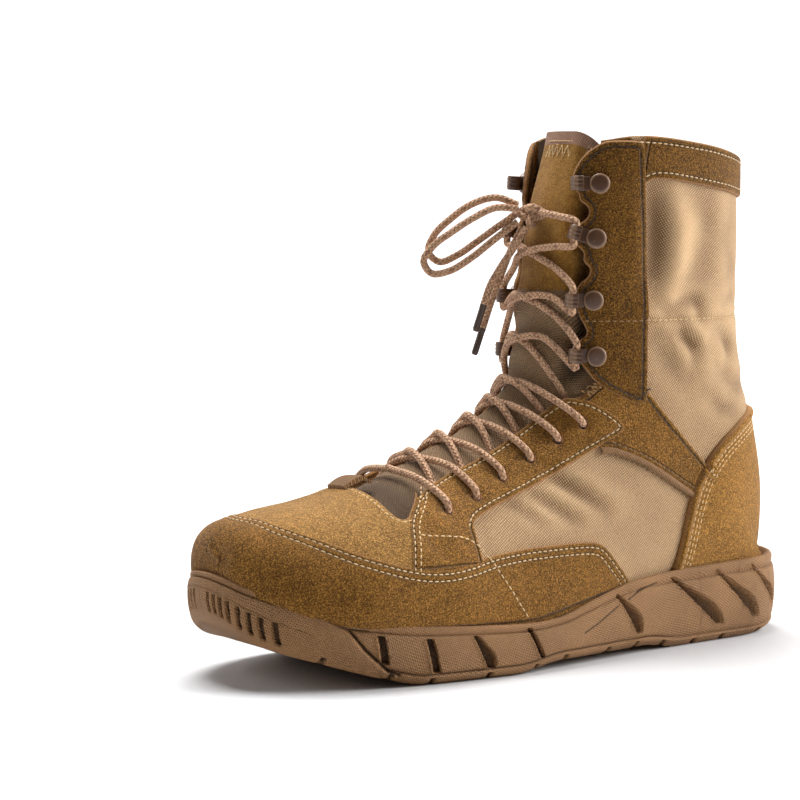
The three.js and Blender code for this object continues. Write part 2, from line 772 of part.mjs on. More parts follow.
const toeSlots = toeSlotPlaces.flatMap((offset) => [toeSlot(offset, -1), toeSlot(offset, 1)]);
add('outsole', without(soleBody.intersect(outsoleSpace), [...chevrons, ...toeSlots]), 'rubber');

// Slanted grooves of the side. Rows: top and bottom place, share of the side's height at the bottom
const grooveRows = [
  [-0.3225, -0.3175, 0.42],
  [-0.253, -0.243, 0.3],
  [-0.1775, -0.1553, 0.27],
  [-0.084, -0.062, 0.34],
  [0.0957, 0.1364, 0.3],
  [0.2172, 0.3063, 0.3],
  [0.3142, 0.3858, 0.34],
  [0.39, 0.4447, 0.42],
];
const sideCore = soleLoft(
  [
    [-0.2, grooveDepth],
    [1.2, grooveDepth],
  ],
  bottomHeight,
  rimHeight,
);
const grooves = grooveRows.map(([top, bottom, share]) => {
  const topX = along(top);
  const footX = along(bottom);
  const footZ = bottomHeight(footX) + share * (rimHeight(footX) - bottomHeight(footX));
  const topZ = rimHeight(topX) + 4;
  const outline = [
    [footX - grooveWidth / 4, footZ],
    [footX + grooveWidth / 4, footZ],
    [topX + grooveWidth / 2, topZ],
    [topX - grooveWidth / 2, topZ],
  ];
  return sidePrism(outline, -sideways, sideways).subtract(sideCore);
});
add('midsole', without(soleBody.intersect(midsoleSpace), grooves), 'rubber');

const insoleSpace = sidePrism([...seatLine(gap), ...seatLine(gap + insoleThickness).reverse()], -sideways, sideways);
add('insole', lastForm(-wall - gap).intersect(insoleSpace), 'lining');
add('upper', upper, 'cloth');

// Tongue, under the throat's edges and up past the collar. Rows: place in the fan, share down each side
const tongueRows = [
  [0.3, 0.4],
  [0.36, 0.47],
  [0.42, 0.42],
  [0.5, 0.37],
  [0.6, 0.33],
  [0.7, 0.33],
  [0.76, 0.34],
  [0.82, 0.29],
  [0.9, 0.27],
  [1.0, 0.25],
];
const tongueTop = collarHeight + 0.015 * collarHeight;
const tongueSpace = surfaceBlock(
  tongueRows.map(([place, share]) => [place, share, share]),
  -wall - gap - tongueThickness - 6,
  0.5,
);
const underTongueTop = sidePrism(
  [
    [-half, 0],
    [half, 0],
    [half, tongueTop],
    [-half, tongueTop],
  ],
  -sideways,
  sideways,
);
const tongueSkin = lastForm(-wall - gap).subtract(lastForm(-wall - gap - tongueThickness));
add('tongue', tongueSkin.intersect(tongueSpace).intersect(underTongueTop), 'suede');

add('toe_rand', overlay(randThickness, randOutline, 'both'), 'suede');
add('vamp', overlay(vampThickness, vampOutline, 'both').subtract(throat), 'suede');
const tabRows = [
  [0.318, 0.03, 0.12],
  [0.35, 0.03, 0.12],
  [0.372, 0.03, 0.12],
];
const tabLow = 2 * gap + vampThickness;
add('throat_tab', surfaceBlock(tabRows, tabLow, tabLow + tabThickness), 'cloth');
for (const [side] of sides) {
  const eyestay = overlay(eyestayThickness, eyestayOutline, side).subtract(throat);
  add(`eyestay_${side}`, without(eyestay, eyelets[side]), 'suede');
  add(`ankle_panel_${side}`, overlay(ankleThickness, ankleOutline, side).subtract(throat), 'suede');
  add(`ankle_piping_${side}`, overlay(pipingThickness, pipingOutline, side), 'cloth');
  add(`hook_facing_${side}`, overlay(facingThickness, facingOutline, side), 'suede');
}
add('collar_band', overlay(bandThickness, bandOutline, 'both'), 'suede');
add('heel_counter', overlay(counterThickness, counterOutline, 'both'), 'suede');

// Lace hooks, from the collar down. Rows: place in the fan, share down the side
const hookRows = [
  [0.96, 0.2],
  [0.919, 0.194],
  [0.862, 0.183],
  [0.804, 0.194],
];
const rivetHeight = 2.2;
const hookSeat = 0.5 * gap;

// Steps around a rivet, in the fan and down the side, where its flat foot may touch first
const rivetRim = [
  [-0.015, 0],
  [0.015, 0],
  [0, 0.03],
  [0, -0.045],
  [-0.01, -0.025],
  [0.01, -0.025],
];

function hookFrame(place, down) {
  const lift = 2 * gap + facingThickness;
  const seat = facetPoint(place, down, lift);
  const out = surfacePoint(place, down, 1).sub(surfacePoint(place, down)).normalize();
  const rises = rivetRim.map(([step, aside]) => {
    const rim = facetPoint(place + step, down + Math.sign(down) * aside, lift);
    return rim.sub(seat).dot(out);
  });
  const base = seat.clone().addScaledVector(out, Math.max(0, ...rises) + hookSeat);
  const forward = new THREE.Vector3(0, 0, 1).cross(out).normalize();
  if (forward.x > 0) forward.negate();
  const up = forward.clone().cross(out).normalize();
  if (up.z < 0) up.negate();
  return { base, out, forward, up };
}

function hookSolid({ base, out, forward, up }) {
  const inner = hookMouth / 2;
  const outer = inner + hookPlate;
  const bend = hookReach - outer;
  const outline = [[-rivetDiameter / 4, 0], [bend, 0]];
  const turns = 4;
  for (let i = 1; i < turns; i += 1) {
    const angle = -Math.PI / 2 + (Math.PI * i) / turns;
    outline.push([bend + outer * Math.cos(angle), outer + outer * Math.sin(angle)]);
  }
  outline.push([bend, 2 * outer], [bend - inner, 2 * outer], [bend - inner, outer + inner]);
  for (let i = turns; i >= 0; i -= 1) {
    const angle = -Math.PI / 2 + (Math.PI * i) / turns;
    outline.push([bend + inner * Math.cos(angle), outer + inner * Math.sin(angle)]);
  }
  outline.push([-rivetDiameter / 4, hookPlate]);
  const plate = extruded(outline, hookWidth);
  plate.translate(0, 0, -hookWidth / 2);
  const head = rivetDiameter / 2;
  const dome = [
    [0, 0],
    [head, 0],
    [head, 0.45 * rivetHeight + hookPlate],
    [0.7 * head, rivetHeight + hookPlate],
    [0, rivetHeight + hookPlate],
  ];
  const profile = dome.map(([r, h]) => new THREE.Vector2(r, h));
  const rivet = new THREE.LatheGeometry(profile, 8);
  const hook = solidOf(plate).add(solidOf(rivet));
  const handed = forward.clone().cross(out).dot(up) > 0 ? up : up.clone().negate();
  const place = new THREE.Matrix4().makeBasis(forward, out, handed).setPosition(base);
  return hook.transform(place.elements);
}

const hookFrames = {};
for (const [side, sign] of sides) {
  hookFrames[side] = hookRows.map(([place, share]) => hookFrame(place, sign * share));
  hookFrames[side].forEach((frame, i) => add(`hook_${side}_${i + 1}`, hookSolid(frame), 'paint'));
}

// Lace: runs over the tongue, joined where they cross, then knot, loops and ends
function laceRun(points, steps, corners = 6, diameter = laceDiameter) {
  const section = Array.from({ length: corners }, (_, i) => {
    const angle = (2 * Math.PI * (i + 0.5)) / corners;
    return new THREE.Vector2((diameter / 2) * Math.cos(angle), (diameter / 2) * Math.sin(angle));
  });
  const extrudePath = new THREE.CatmullRomCurve3(points, false, 'centripetal');
  return new THREE.ExtrudeGeometry(new THREE.Shape(section), { steps, extrudePath });
}

const laceRoom = 0.25 * laceDiameter;
const laceLift = 2 * gap + eyestayThickness + laceDiameter / 2 + laceRoom;
const tongueLift = -wall + laceDiameter / 2 + laceRoom;
const crossLift = tongueLift + 0.45 * laceDiameter;
const throatCurve = smoothCurve(throatRows);
const underPlace = 0.014;
const overPlace = 0.004;
const underShare = 0.055;
const overShare = 0.02;

// Where a run leaves the throat, just inside its edge on the tongue
function underEdge(sign, row) {
  const place = eyeletRows[row][0] + underPlace;
  return facetPoint(place, sign * (throatCurve(place) - underShare), tongueLift);
}

// From under one edge across the tongue, over the other edge and down to the next eyelet
function eyeletRun(sign, row) {
  const [place, share] = eyeletRows[row + 1];
  const middle = (eyeletRows[row][0] + place) / 2 + overPlace;
  const before = place - overPlace;
  const points = [
    underEdge(sign, row),
    facetPoint(middle, 0.002, crossLift),
    facetPoint(before, -sign * (throatCurve(before) - overShare), laceLift),
    facetPoint(place, -sign * share, laceLift),
  ];
  return solidOf(laceRun(points, 4, 5));
}
const [firstPlace, firstShare] = eyeletRows[0];
const barPoints = [-1, -0.6, 0, 0.6, 1].map((k) => {
  const place = firstPlace - 0.02 * (1 - k * k);
  return facetPoint(place, k * firstShare, laceLift - laceRoom * (1 - Math.abs(k)));
});
add('lace_bar', solidOf(laceRun(barPoints, 6)), 'lace');
for (let i = 0; i < eyeletRows.length - 1; i += 1) {
  add(`lace_cross_${i + 1}`, eyeletRun(-1, i).add(eyeletRun(1, i)), 'lace');
}

// Where the lace leaves a hook's mouth, above it or below it
function hookEnd({ base, out, forward, up }, direction) {
  const outer = hookMouth / 2 + hookPlate;
  const clear = hookWidth / 2 + gap + 0.9 * laceDiameter;
  const mouth = base.clone().addScaledVector(forward, hookReach - outer).addScaledVector(out, outer);
  return mouth.addScaledVector(up, direction * clear);
}

function hookRun(start, middle, end) {
  return solidOf(laceRun([start, middle, end], 3, 5));
}
const other = { lateral: 'medial', medial: 'lateral' };
const lowestHook = hookRows.length - 1;
const topRow = eyeletRows.length - 1;
const overTongue = (place) => facetPoint(place, 0.002, crossLift + 0.25 * laceDiameter);
const upperRuns = sides.map(([side, sign]) => {
  const end = hookEnd(hookFrames[other[side]][lowestHook], -1);
  return solidOf(laceRun([underEdge(sign, topRow), overTongue(0.742), end], 4, 5));
});
add(`lace_cross_${eyeletRows.length}`, upperRuns[0].add(upperRuns[1]), 'lace');
for (let i = lowestHook; i > 1; i -= 1) {
  const middle = overTongue((hookRows[i][0] + hookRows[i - 1][0]) / 2 + 0.004);
  const runs = sides.map(([side]) => {
    const start = hookEnd(hookFrames[side][i], 1);
    const end = hookEnd(hookFrames[other[side]][i - 1], -1);
    return hookRun(start, middle, end);
  });
  add(`lace_cross_${eyeletRows.length + lowestHook - i + 1}`, runs[0].add(runs[1]), 'lace');
}

// Knot in front of the tongue, between the second hooks
const knotHalf = { x: 5, y: 7.5, z: 6.5 };
const knotLift = -wall + knotHalf.x;
const knotCentre = surfacePoint(0.925, 0.002, knotLift);
const knot = new THREE.SphereGeometry(1, 10, 6);
knot.scale(knotHalf.x, knotHalf.y, knotHalf.z);
knot.translate(knotCentre.x, knotCentre.y, knotCentre.z);
for (const [side, sign] of sides) {
  const start = hookEnd(hookFrames[side][1], 1);
  const end = knotCentre.clone().add(new THREE.Vector3(0, sign * (knotHalf.y + gap), 0));
  const middle = start.clone().lerp(end, 0.5).add(new THREE.Vector3(-1.5, 0, 1));
  add(`lace_tie_${side}`, hookRun(start, middle, end), 'lace');
}
add('lace_knot', solidOf(knot), 'lace');

// Free lace, points from the knot: towards the toe and the medial side, across that, and up
const freeWay = new THREE.Vector3(-0.8, 0.6, 0);
const freeAcross = new THREE.Vector3(0.6, 0.8, 0);
function freePoints(rows) {
  return rows.map(([out, across, rise]) => {
    const point = knotCentre.clone().addScaledVector(freeWay, out).addScaledVector(freeAcross, across);
    return point.setZ(point.z + rise);
  });
}
const freeRows = {
  lace_loop_a: [
    [5.9, -1.5, 2.5],
    [16, -3, 3],
    [26, -4, -1.5],
    [36, -4, -8],
    [44, -3.5, -14],
    [48.5, -3, -21],
    [45, -3, -26.5],
    [37, -3, -25.5],
    [27, -3, -19.5],
    [17, -2.5, -11.5],
    [6.2, -1.5, -3.4],
  ],
  lace_loop_b: [
    [6, 2, 4.2],
    [16, 3, 7.5],
    [27, 3, 4.5],
    [37, 3, -2.5],
    [44, 3, -9.5],
    [46.5, 2.5, -17],
    [41.5, 2, -21.5],
    [33.5, 2, -18.5],
    [24, 2, -12],
    [15, 2, -5.5],
    [7.2, 1.9, -0.2],
  ],
  lace_end_a: [
    [2.4, -2.5, -5.9],
    [8, -4, -15],
    [14, -4.5, -24],
    [18.5, -4.5, -32],
    [21.5, -4, -41],
  ],
  lace_end_b: [
    [4.2, 2, -6],
    [10, 3, -18],
    [14.5, 3, -30],
    [18.5, 2.5, -41],
    [22, 2, -52],
  ],
};
const freeSteps = { lace_loop_a: 14, lace_loop_b: 14, lace_end_a: 5, lace_end_b: 6 };
for (const [name, rows] of Object.entries(freeRows)) {
  add(name, solidOf(laceRun(freePoints(rows), freeSteps[name], 8)), 'lace');
}
for (const end of ['a', 'b']) {
  const rows = freeRows[`lace_end_${end}`];
  const [before, tip] = freePoints(rows.slice(-2));
  const way = tip.clone().sub(before).normalize();
  const from = tip.clone().addScaledVector(way, gap);
  const to = from.clone().addScaledVector(way, agletLength);
  add(`aglet_${end}`, solidOf(laceRun([from, to], 1, 8, 0.94 * laceDiameter)), 'paint');
}

const boot = new THREE.Group();
boot.name = 'combat_boot';
for (const { name, solid, finish } of pieces) {
  const { vertProperties, triVerts } = solid.getMesh();
  const geometry = new THREE.BufferGeometry();
  geometry.setAttribute('position', new THREE.Float32BufferAttribute(vertProperties, 3));
  geometry.setIndex(Array.from(triVerts));
  geometry.computeVertexNormals();
  const [colour, roughness, metalness] = finishes[finish];
  const material = new THREE.MeshStandardMaterial({ color: colour, roughness, metalness });
  const mesh = new THREE.Mesh(geometry, material);
  mesh.name = name;
  boot.add(mesh);
}

export default boot;
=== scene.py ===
"""A left combat boot: suede panels over woven nylon, lace hooks above punched eyelets, lugged rubber sole.
Sizes are in millimetres until a mesh is made; the toe points to -X, the medial side to +Y."""

import math

import bmesh
import bpy
import numpy as np
from mathutils import Matrix, Vector
from mathutils.geometry import delaunay_2d_cdt


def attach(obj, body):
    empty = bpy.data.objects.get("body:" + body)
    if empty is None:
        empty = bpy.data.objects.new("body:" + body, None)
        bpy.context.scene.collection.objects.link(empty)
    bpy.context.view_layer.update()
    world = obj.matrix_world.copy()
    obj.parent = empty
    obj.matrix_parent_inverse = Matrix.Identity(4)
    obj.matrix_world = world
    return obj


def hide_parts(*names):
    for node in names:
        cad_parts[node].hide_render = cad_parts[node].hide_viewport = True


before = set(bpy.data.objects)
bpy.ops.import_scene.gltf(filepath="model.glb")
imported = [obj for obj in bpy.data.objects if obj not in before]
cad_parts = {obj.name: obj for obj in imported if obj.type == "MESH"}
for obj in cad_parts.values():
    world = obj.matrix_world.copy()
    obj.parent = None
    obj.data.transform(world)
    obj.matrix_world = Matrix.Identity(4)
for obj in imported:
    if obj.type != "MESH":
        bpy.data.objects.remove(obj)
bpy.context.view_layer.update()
MM = 0.001

# Camera, round to the outer side, with its eye a little under the collar
AZIMUTH = math.radians(37)
EYE_HEIGHT, DISTANCE, FOCAL_LENGTH = 0.215, 1.150, 115.4
AIM_HEIGHT, AIM_ASIDE = 0.1135, -0.0458
back_way = np.array([-math.sin(AZIMUTH), -math.cos(AZIMUTH), 0])
right_way = np.array([math.cos(AZIMUTH), -math.sin(AZIMUTH), 0])
eye = np.array([0, 0, EYE_HEIGHT]) + back_way * DISTANCE
target = right_way * AIM_ASIDE + np.array([0, 0, AIM_HEIGHT])
camera_data = bpy.data.cameras.new("camera")
camera_data.lens = FOCAL_LENGTH
camera_data.clip_start, camera_data.clip_end = 0.05, 60
camera = bpy.data.objects.new("camera", camera_data)
camera.location = eye
camera.rotation_mode = "QUATERNION"
camera.rotation_quaternion = Vector(target - eye).to_track_quat("-Z", "Y")
bpy.context.collection.objects.link(camera)
bpy.context.scene.camera = camera

# Named sizes
SOLE_LENGTH, BALL_WIDTH = 302.0, 108.0
HALF = SOLE_LENGTH / 2
TOE_LEDGE, SIDE_LEDGE, HEEL_LEDGE = 6.0, 6.5, 7.5
WALL, GAP = 2.2, 0.3
LACE = 3.2
TREAD = 4.5
LUG_DEPTH, LUG_SLOT, CHEVRON = 3.2, 2.4, 9.0


def soft_curve(at, value):
    """A smooth curve through rows that never swings past them"""
    at, value = np.asarray(at, float), np.asarray(value, float)
    step = np.diff(at)
    rise = np.diff(value) / step
    slope = np.zeros_like(value)
    slope[0], slope[-1] = rise[0], rise[-1]
    for i in range(1, len(at) - 1):
        if rise[i - 1] * rise[i] > 0:
            before, after = 2 * step[i] + step[i - 1], step[i] + 2 * step[i - 1]
            slope[i] = (before + after) / (before / rise[i - 1] + after / rise[i])

    def curve(x):
        x = np.clip(x, at[0], at[-1])
        i = np.clip(np.searchsorted(at, x, side="right") - 1, 0, len(step) - 1)
        h = step[i]
        t = (x - at[i]) / h
        low = (1 + 2 * t) * (1 - t) ** 2 * value[i] + t * (1 - t) ** 2 * h * slope[i]
        high = t * t * (3 - 2 * t) * value[i + 1] + t * t * (t - 1) * h * slope[i + 1]
        return low + high

    return curve


def ramp(x, low, high):
    """0 below low, 1 above high, smooth between"""
    t = np.clip((np.asarray(x, float) - low) / (high - low), 0, 1)
    return t * t * (3 - 2 * t)


def hump(x, centre, width):
    """1 at the centre, falling off as a bell"""
    return np.exp(-(((x - centre) / width) ** 2))


# Sole outline: share of the length, half width and lean as shares of the ball's width
OUTLINE = np.array([
    [0.00, 0.430, 0.085], [0.15, 0.462, 0.050], [0.30, 0.494, 0.012], [0.38, 0.500, 0.000],
    [0.50, 0.450, -0.030], [0.62, 0.395, -0.042], [0.75, 0.365, -0.025], [0.88, 0.370, 0.000],
    [1.00, 0.370, 0.000],
])
half_share = soft_curve(OUTLINE[:, 0], OUTLINE[:, 1])
lean_share = soft_curve(OUTLINE[:, 0], OUTLINE[:, 2])
SEAT = np.array([
    [0.00, 46], [0.03, 39.5], [0.08, 33], [0.14, 27.5], [0.21, 24.5], [0.31, 22], [0.44, 20],
    [0.475, 20.5], [0.55, 26], [0.64, 32], [0.77, 34], [1.0, 35],
])
BOTTOM = np.array([
    [0.0, 31], [0.012, 26.7], [0.03, 21.1], [0.06, 16.4], [0.115, 10.9], [0.19, 4.0], [0.25, 0], [0.40, 0],
    [0.49, 3], [0.66, 3], [0.74, 0], [0.91, 0], [0.96, 1.8], [1.0, 6],
])
RIM = np.array([[0.0, 3], [0.08, 5], [0.108, 4.5], [0.14, 1.5], [1.0, 1.5]])
seat_curve = soft_curve(SEAT[:, 0], SEAT[:, 1])
bottom_curve = soft_curve(BOTTOM[:, 0], BOTTOM[:, 1])
rim_curve = soft_curve(RIM[:, 0], RIM[:, 1])


def share_of(x):
    return (np.asarray(x, float) + HALF) / SOLE_LENGTH


def round_end(distance, reach, power):
    q = np.clip(1 - distance / reach, 0, 1)
    return np.maximum(1 - q**power, 0) ** (1 / power)


def sole_half(x, toe, side, heel):
    full = half_share(share_of(x)) * BALL_WIDTH - side
    return full * round_end(x + HALF - toe, 80.0, 2.25) * round_end(HALF - heel - x, 44.0, 2.35)


def sole_middle(x):
    return lean_share(share_of(x)) * BALL_WIDTH


def ring_round(lateral, medial):
    """One closed row of values from two sides that share both ends"""
    return np.concatenate([lateral, medial[::-1][1:-1]])


def mirrored(half):
    """A closed outline on the flat map from its lateral half"""
    return ring_round(half, half * [1, -1])


def slab_faces(rows, columns):
    """Faces of a slab whose points lie in two layers of rows, the outer layer first"""
    n, m = columns + 1, rows * (columns + 1)
    faces = []
    for i in range(rows - 1):
        for j in range(columns):
            a = i * n + j
            faces.append([a + n, a + n + 1, a + 1, a])
            faces.append([m + a, m + a + 1, m + a + n + 1, m + a + n])
        for j, flip in ((0, False), (columns, True)):
            a = i * n + j
            quad = [a, a + n, a + n + m, a + m]
            faces.append(quad if flip else quad[::-1])
    for i, flip in ((0, False), (rows - 1, True)):
        for j in range(columns):
            a = i * n + j
            quad = [a, a + 1, a + 1 + m, a + m]
            faces.append(quad[::-1] if flip else quad)
    return faces


def seat_height(x):
    return seat_curve(share_of(x))


# The last as a fan of sections: place, ridge x and z, foot x and z, half width, share down to the widest
# point, roundness, lean of the ridge
FAN = np.array([
    [0.00, -146.8, 56, -146.8, 56, 0.0, 0.62, 2.20, 9.0],
    [0.03, -145, 62.5, -145, 43, 14.5, 0.66, 2.20, 9.0],
    [0.06, -140, 66, -140, 36, 24.0, 0.72, 2.20, 8.5],
    [0.09, -133.5, 67.6, -133.5, 32, 31.0, 0.76, 2.20, 8.0],
    [0.13, -122, 69.5, -122, 27, 39.5, 0.78, 2.25, 7.0],
    [0.28, -90, 75, -90, 21.5, 49.5, 0.74, 2.10, 6.0],
    [0.41, -60, 84, -58, 19, 50.0, 0.76, 1.95, 6.0],
    [0.52, -32, 96, -22, 17, 46.0, 0.78, 1.80, 6.5],
    [0.60, -8, 108, 15, 23, 42.0, 0.76, 1.75, 6.0],
    [0.68, 7, 122, 60, 30, 38.5, 0.70, 1.90, 4.0],
    [0.75, 12, 138, 110, 31.5, 37.0, 0.60, 2.10, 2.0],
    [0.80, 13.5, 150, 143.5, 32.4, 36.5, 0.56, 2.25, 1.2],
    [0.83, 14.5, 159, 146, 58, 36.5, 0.54, 2.30, 0.8],
    [0.88, 16.5, 176, 139.5, 97, 36.5, 0.52, 2.30, 0.0],
    [0.94, 20.5, 204, 129.5, 155, 37.0, 0.50, 2.10, 0.0],
    [1.00, 25, 238, 130, 233, 37.5, 0.50, 2.00, 0.0],
])
fan_curves = [soft_curve(FAN[:, 0], FAN[:, k]) for k in range(1, 9)]
ROWS, COLUMNS = 481, 160


def section(place, side, s):
    """One side of the last's section at shares s from the ridge to the foot"""
    ridge_x, ridge_z, foot_x, foot_z, widest, peak, roundness, lean = [curve(place) for curve in fan_curves]
    opening = 1 - ramp(foot_z - seat_height(foot_x), 4, 12)
    foot_half = opening * sole_half(foot_x, TOE_LEDGE, SIDE_LEDGE, HEEL_LEDGE)
    full = max(widest, foot_half)
    over = full * np.maximum(1 - (1 - np.minimum(s / peak, 1)) ** roundness, 0) ** (1 / roundness)
    lower = np.clip((s - peak) / (1 - peak), 0, 1)
    under = np.sqrt(np.maximum(foot_half**2 + (full**2 - foot_half**2) * (1 - lower**2), 0))
    width = np.where(s < peak, over, under)
    middle = lean + (opening * sole_middle(foot_x) - lean) * s
    return np.stack([ridge_x + (foot_x - ridge_x) * s, middle + side * width, ridge_z + (foot_z - ridge_z) * s], -1)


def fan_table():
    steps = 0.5 - 0.5 * np.cos(np.linspace(0, np.pi, 401))
    table, side_length = [], []
    for place in np.linspace(0, 1, ROWS):
        row, lengths = [], []
        for side in (-1, 1):
            line = section(place, side, steps)
            run = np.r_[0, np.cumsum(np.linalg.norm(np.diff(line, axis=0), axis=1))]
            at = np.linspace(0, run[-1], COLUMNS + 1)
            row.append(np.stack([np.interp(at, run, line[:, k]) for k in range(3)], -1))
            lengths.append(run[-1])
        table.append(np.vstack([row[0][::-1], row[1][1:]]))
        side_length.append(sum(lengths) / 2)
    return np.array(table), np.array(side_length)


table, side_length = fan_table()
places = np.linspace(0, 1, ROWS)
middles = [table[:, COLUMNS // 2], table[:, COLUMNS + COLUMNS // 2]]
up_run = np.mean([np.r_[0, np.cumsum(np.linalg.norm(np.diff(m, axis=0), axis=1))] for m in middles], axis=0)
closed_row = np.linalg.norm(table[:, 0] - table[:, -1], axis=1) < 0.3
normals = np.cross(np.gradient(table, axis=0), np.gradient(table, axis=1))
normals[0] = [-1, 0, 0]
seam_normal = normals[:, 0] + normals[:, -1]
seam_normal[:, 1] = 0
normals[closed_row, 0] = normals[closed_row, -1] = seam_normal[closed_row]
normals /= np.maximum(np.linalg.norm(normals, axis=-1, keepdims=True), 1e-9)


def sample(grid, place, down):
    """Cubic sampling of a table over the fan"""
    r = np.clip(np.asarray(place, float), 0, 1) * (ROWS - 1)
    c = (np.clip(np.asarray(down, float), -1, 1) + 1) * COLUMNS
    i, j = np.minimum(r.astype(int), ROWS - 2), np.minimum(c.astype(int), 2 * COLUMNS - 1)
    t, s = r - i, c - j

    def weights(t):
        return (
            -0.5 * t + t * t - 0.5 * t**3, 1 - 2.5 * t * t + 1.5 * t**3,
            0.5 * t + 2 * t * t - 1.5 * t**3, -0.5 * t * t + 0.5 * t**3,
        )

    wr, wc = weights(t), weights(s)
    total = 0
    for a in range(4):
        rows = np.clip(i + a - 1, 0, ROWS - 1)
        for b in range(4):
            cols = np.clip(j + b - 1, 0, 2 * COLUMNS)
            total = total + grid[rows, cols] * (wr[a] * wc[b])[:, None]
    return total


# A flat map of the last: a runs up the fan, b round from the ridge, both in millimetres.
# The back map starts b at the heel's middle line, positive on the lateral side
def to_flat(place, down, back=False):
    place, down = np.asarray(place, float), np.asarray(down, float)
    length = np.interp(place, places, side_length)
    if back:
        down = np.where(down < 0, down + 1, down - 1)
    return np.stack([np.interp(place, places, up_run), down * length], -1)


def from_flat(flat, back=False):
    flat = np.asarray(flat, float)
    place = np.interp(flat[..., 0], up_run, places)
    down = flat[..., 1] / np.maximum(np.interp(place, places, side_length), 1e-6)
    if back:
        down = np.where(down >= 0, np.minimum(down, 1) - 1, np.maximum(down, -1) + 1)
    return place, np.clip(down, -1, 1)


def skin(flat, lift=0.0, back=False, folds=True):
    """Points on the last's surface with a lift off it, and with the boot's creases"""
    place, down = from_flat(flat, back)
    point, normal = sample(table, place, down), sample(normals, place, down)
    normal /= np.maximum(np.linalg.norm(normal, axis=-1, keepdims=True), 1e-9)
    lift = np.broadcast_to(np.asarray(lift, float), place.shape)
    if folds:
        lift = lift + relief(point)
    return point + normal * lift[:, None]


def flat_at(rows, side=-1, back=False):
    """Flat places of points given by x and z on one side"""
    rows = np.asarray(rows, float)
    half = slice(0, COLUMNS + 1) if side < 0 else slice(COLUMNS, 2 * COLUMNS + 1)
    part = table[:, half]
    found = []
    for x, z in rows:
        distance = (part[..., 0] - x) ** 2 + (part[..., 2] - z) ** 2
        i, j = np.unravel_index(np.argmin(distance), distance.shape)
        place, down = places[i], (j / COLUMNS - 1) if side < 0 else j / COLUMNS
        for _ in range(4):
            here = sample(table, [place], [down])[0]
            step = 1e-3
            d_place = (sample(table, [place + step], [down])[0] - here) / step
            d_down = (sample(table, [place], [down - side * -step])[0] - here) / (side * step)
            matrix = np.array([[d_place[0], d_down[0]], [d_place[2], d_down[2]]])
            if abs(np.linalg.det(matrix)) < 200:
                break
            move = np.linalg.solve(matrix, [x - here[0], z - here[2]])
            place, down = place + np.clip(move[0], -0.01, 0.01), down + np.clip(move[1], -0.02, 0.02)
        found.append((place, down))
    found = np.array(found)
    return to_flat(found[:, 0], found[:, 1], back)


def drawn(rows, closed=False, turns=2, spacing=2.5, **where):
    """A line seen from the side, rounded and made even before it goes on the flat map"""
    return flat_at(even(softened(rows, turns, closed), spacing, closed), **where)


def segment_distance(points, line):
    """Distance from each point to a line of points, and where along it, 0 to 1"""
    points, line = np.asarray(points, float), np.asarray(line, float)
    best = np.full(len(points), 1e9)
    where = np.zeros(len(points))
    for k in range(len(line) - 1):
        a, d = line[k], line[k + 1] - line[k]
        t = np.clip(((points - a) @ d) / max(d @ d, 1e-12), 0, 1)
        gap = np.linalg.norm(points - a - t[:, None] * d, axis=1)
        nearer = gap < best
        best[nearer], where[nearer] = gap[nearer], (k + t[nearer]) / (len(line) - 1)
    return best, where


# Creases seen from the side: x and z along each, trough depth, half width. -1 lateral, 1 medial, 0 both
CREASES = [
    ([(4, 82), (9, 79), (16, 75), (29, 67)], 1.6, 3.4, 0),
    ([(-7, 74.5), (2, 69), (12, 62.5)], 1.2, 3.0, 0),
    ([(-22, 72.5), (-13, 67.5), (-7, 62)], 0.8, 2.6, 0),
    ([(22, 82), (34, 73), (44, 62)], -0.4, 6.0, 0),
    ([(69, 208), (75, 192), (71, 174), (64, 158)], -2.0, 6.5, -1),
    ([(59, 206), (60, 186), (59, 166)], 1.8, 5.0, -1),
    ([(92, 204), (96, 186), (90, 168)], 1.0, 6.0, 0),
    ([(112, 202), (108, 184), (114, 164)], 0.8, 6.0, 0),
    ([(66, 154), (80, 158), (92, 155)], 0.9, 3.0, 0),
    ([(102, 155), (112, 158), (122, 154)], 0.8, 3.0, 0),
    ([(70, 144), (80, 137), (84, 126)], 1.3, 3.4, 0),
    ([(104, 145), (108, 136), (106, 126)], 0.9, 3.6, 0),
    ([(90, 116), (100, 108), (112, 106)], 0.9, 3.6, 0),
    ([(74, 146.5), (79, 140.5), (86, 134)], 1.5, 3.2, -1),
    ([(58, 157.5), (69, 152)], 1.2, 3.0, -1),
    ([(84, 158), (86, 149)], 1.3, 3.4, -1),
    ([(96, 146), (104, 138), (116, 134)], 0.9, 3.6, 0),
    ([(60, 142), (70, 128), (84, 118)], 0.9, 5.0, 0),
    ([(70, 150), (82, 138), (100, 132)], 1.1, 3.6, 1),
    ([(66, 200), (80, 184), (98, 176)], 0.9, 6.0, 1),
    ([(100, 122), (116, 116), (132, 117)], 0.9, 4.0, 0),
    ([(-70, 70), (-66, 60), (-60, 50)], 0.5, 4.0, 0),
    ([(-100, 74), (-104, 60), (-112, 48)], 0.25, 7.0, 0),
]
SEAM_HEIGHT = 149.5


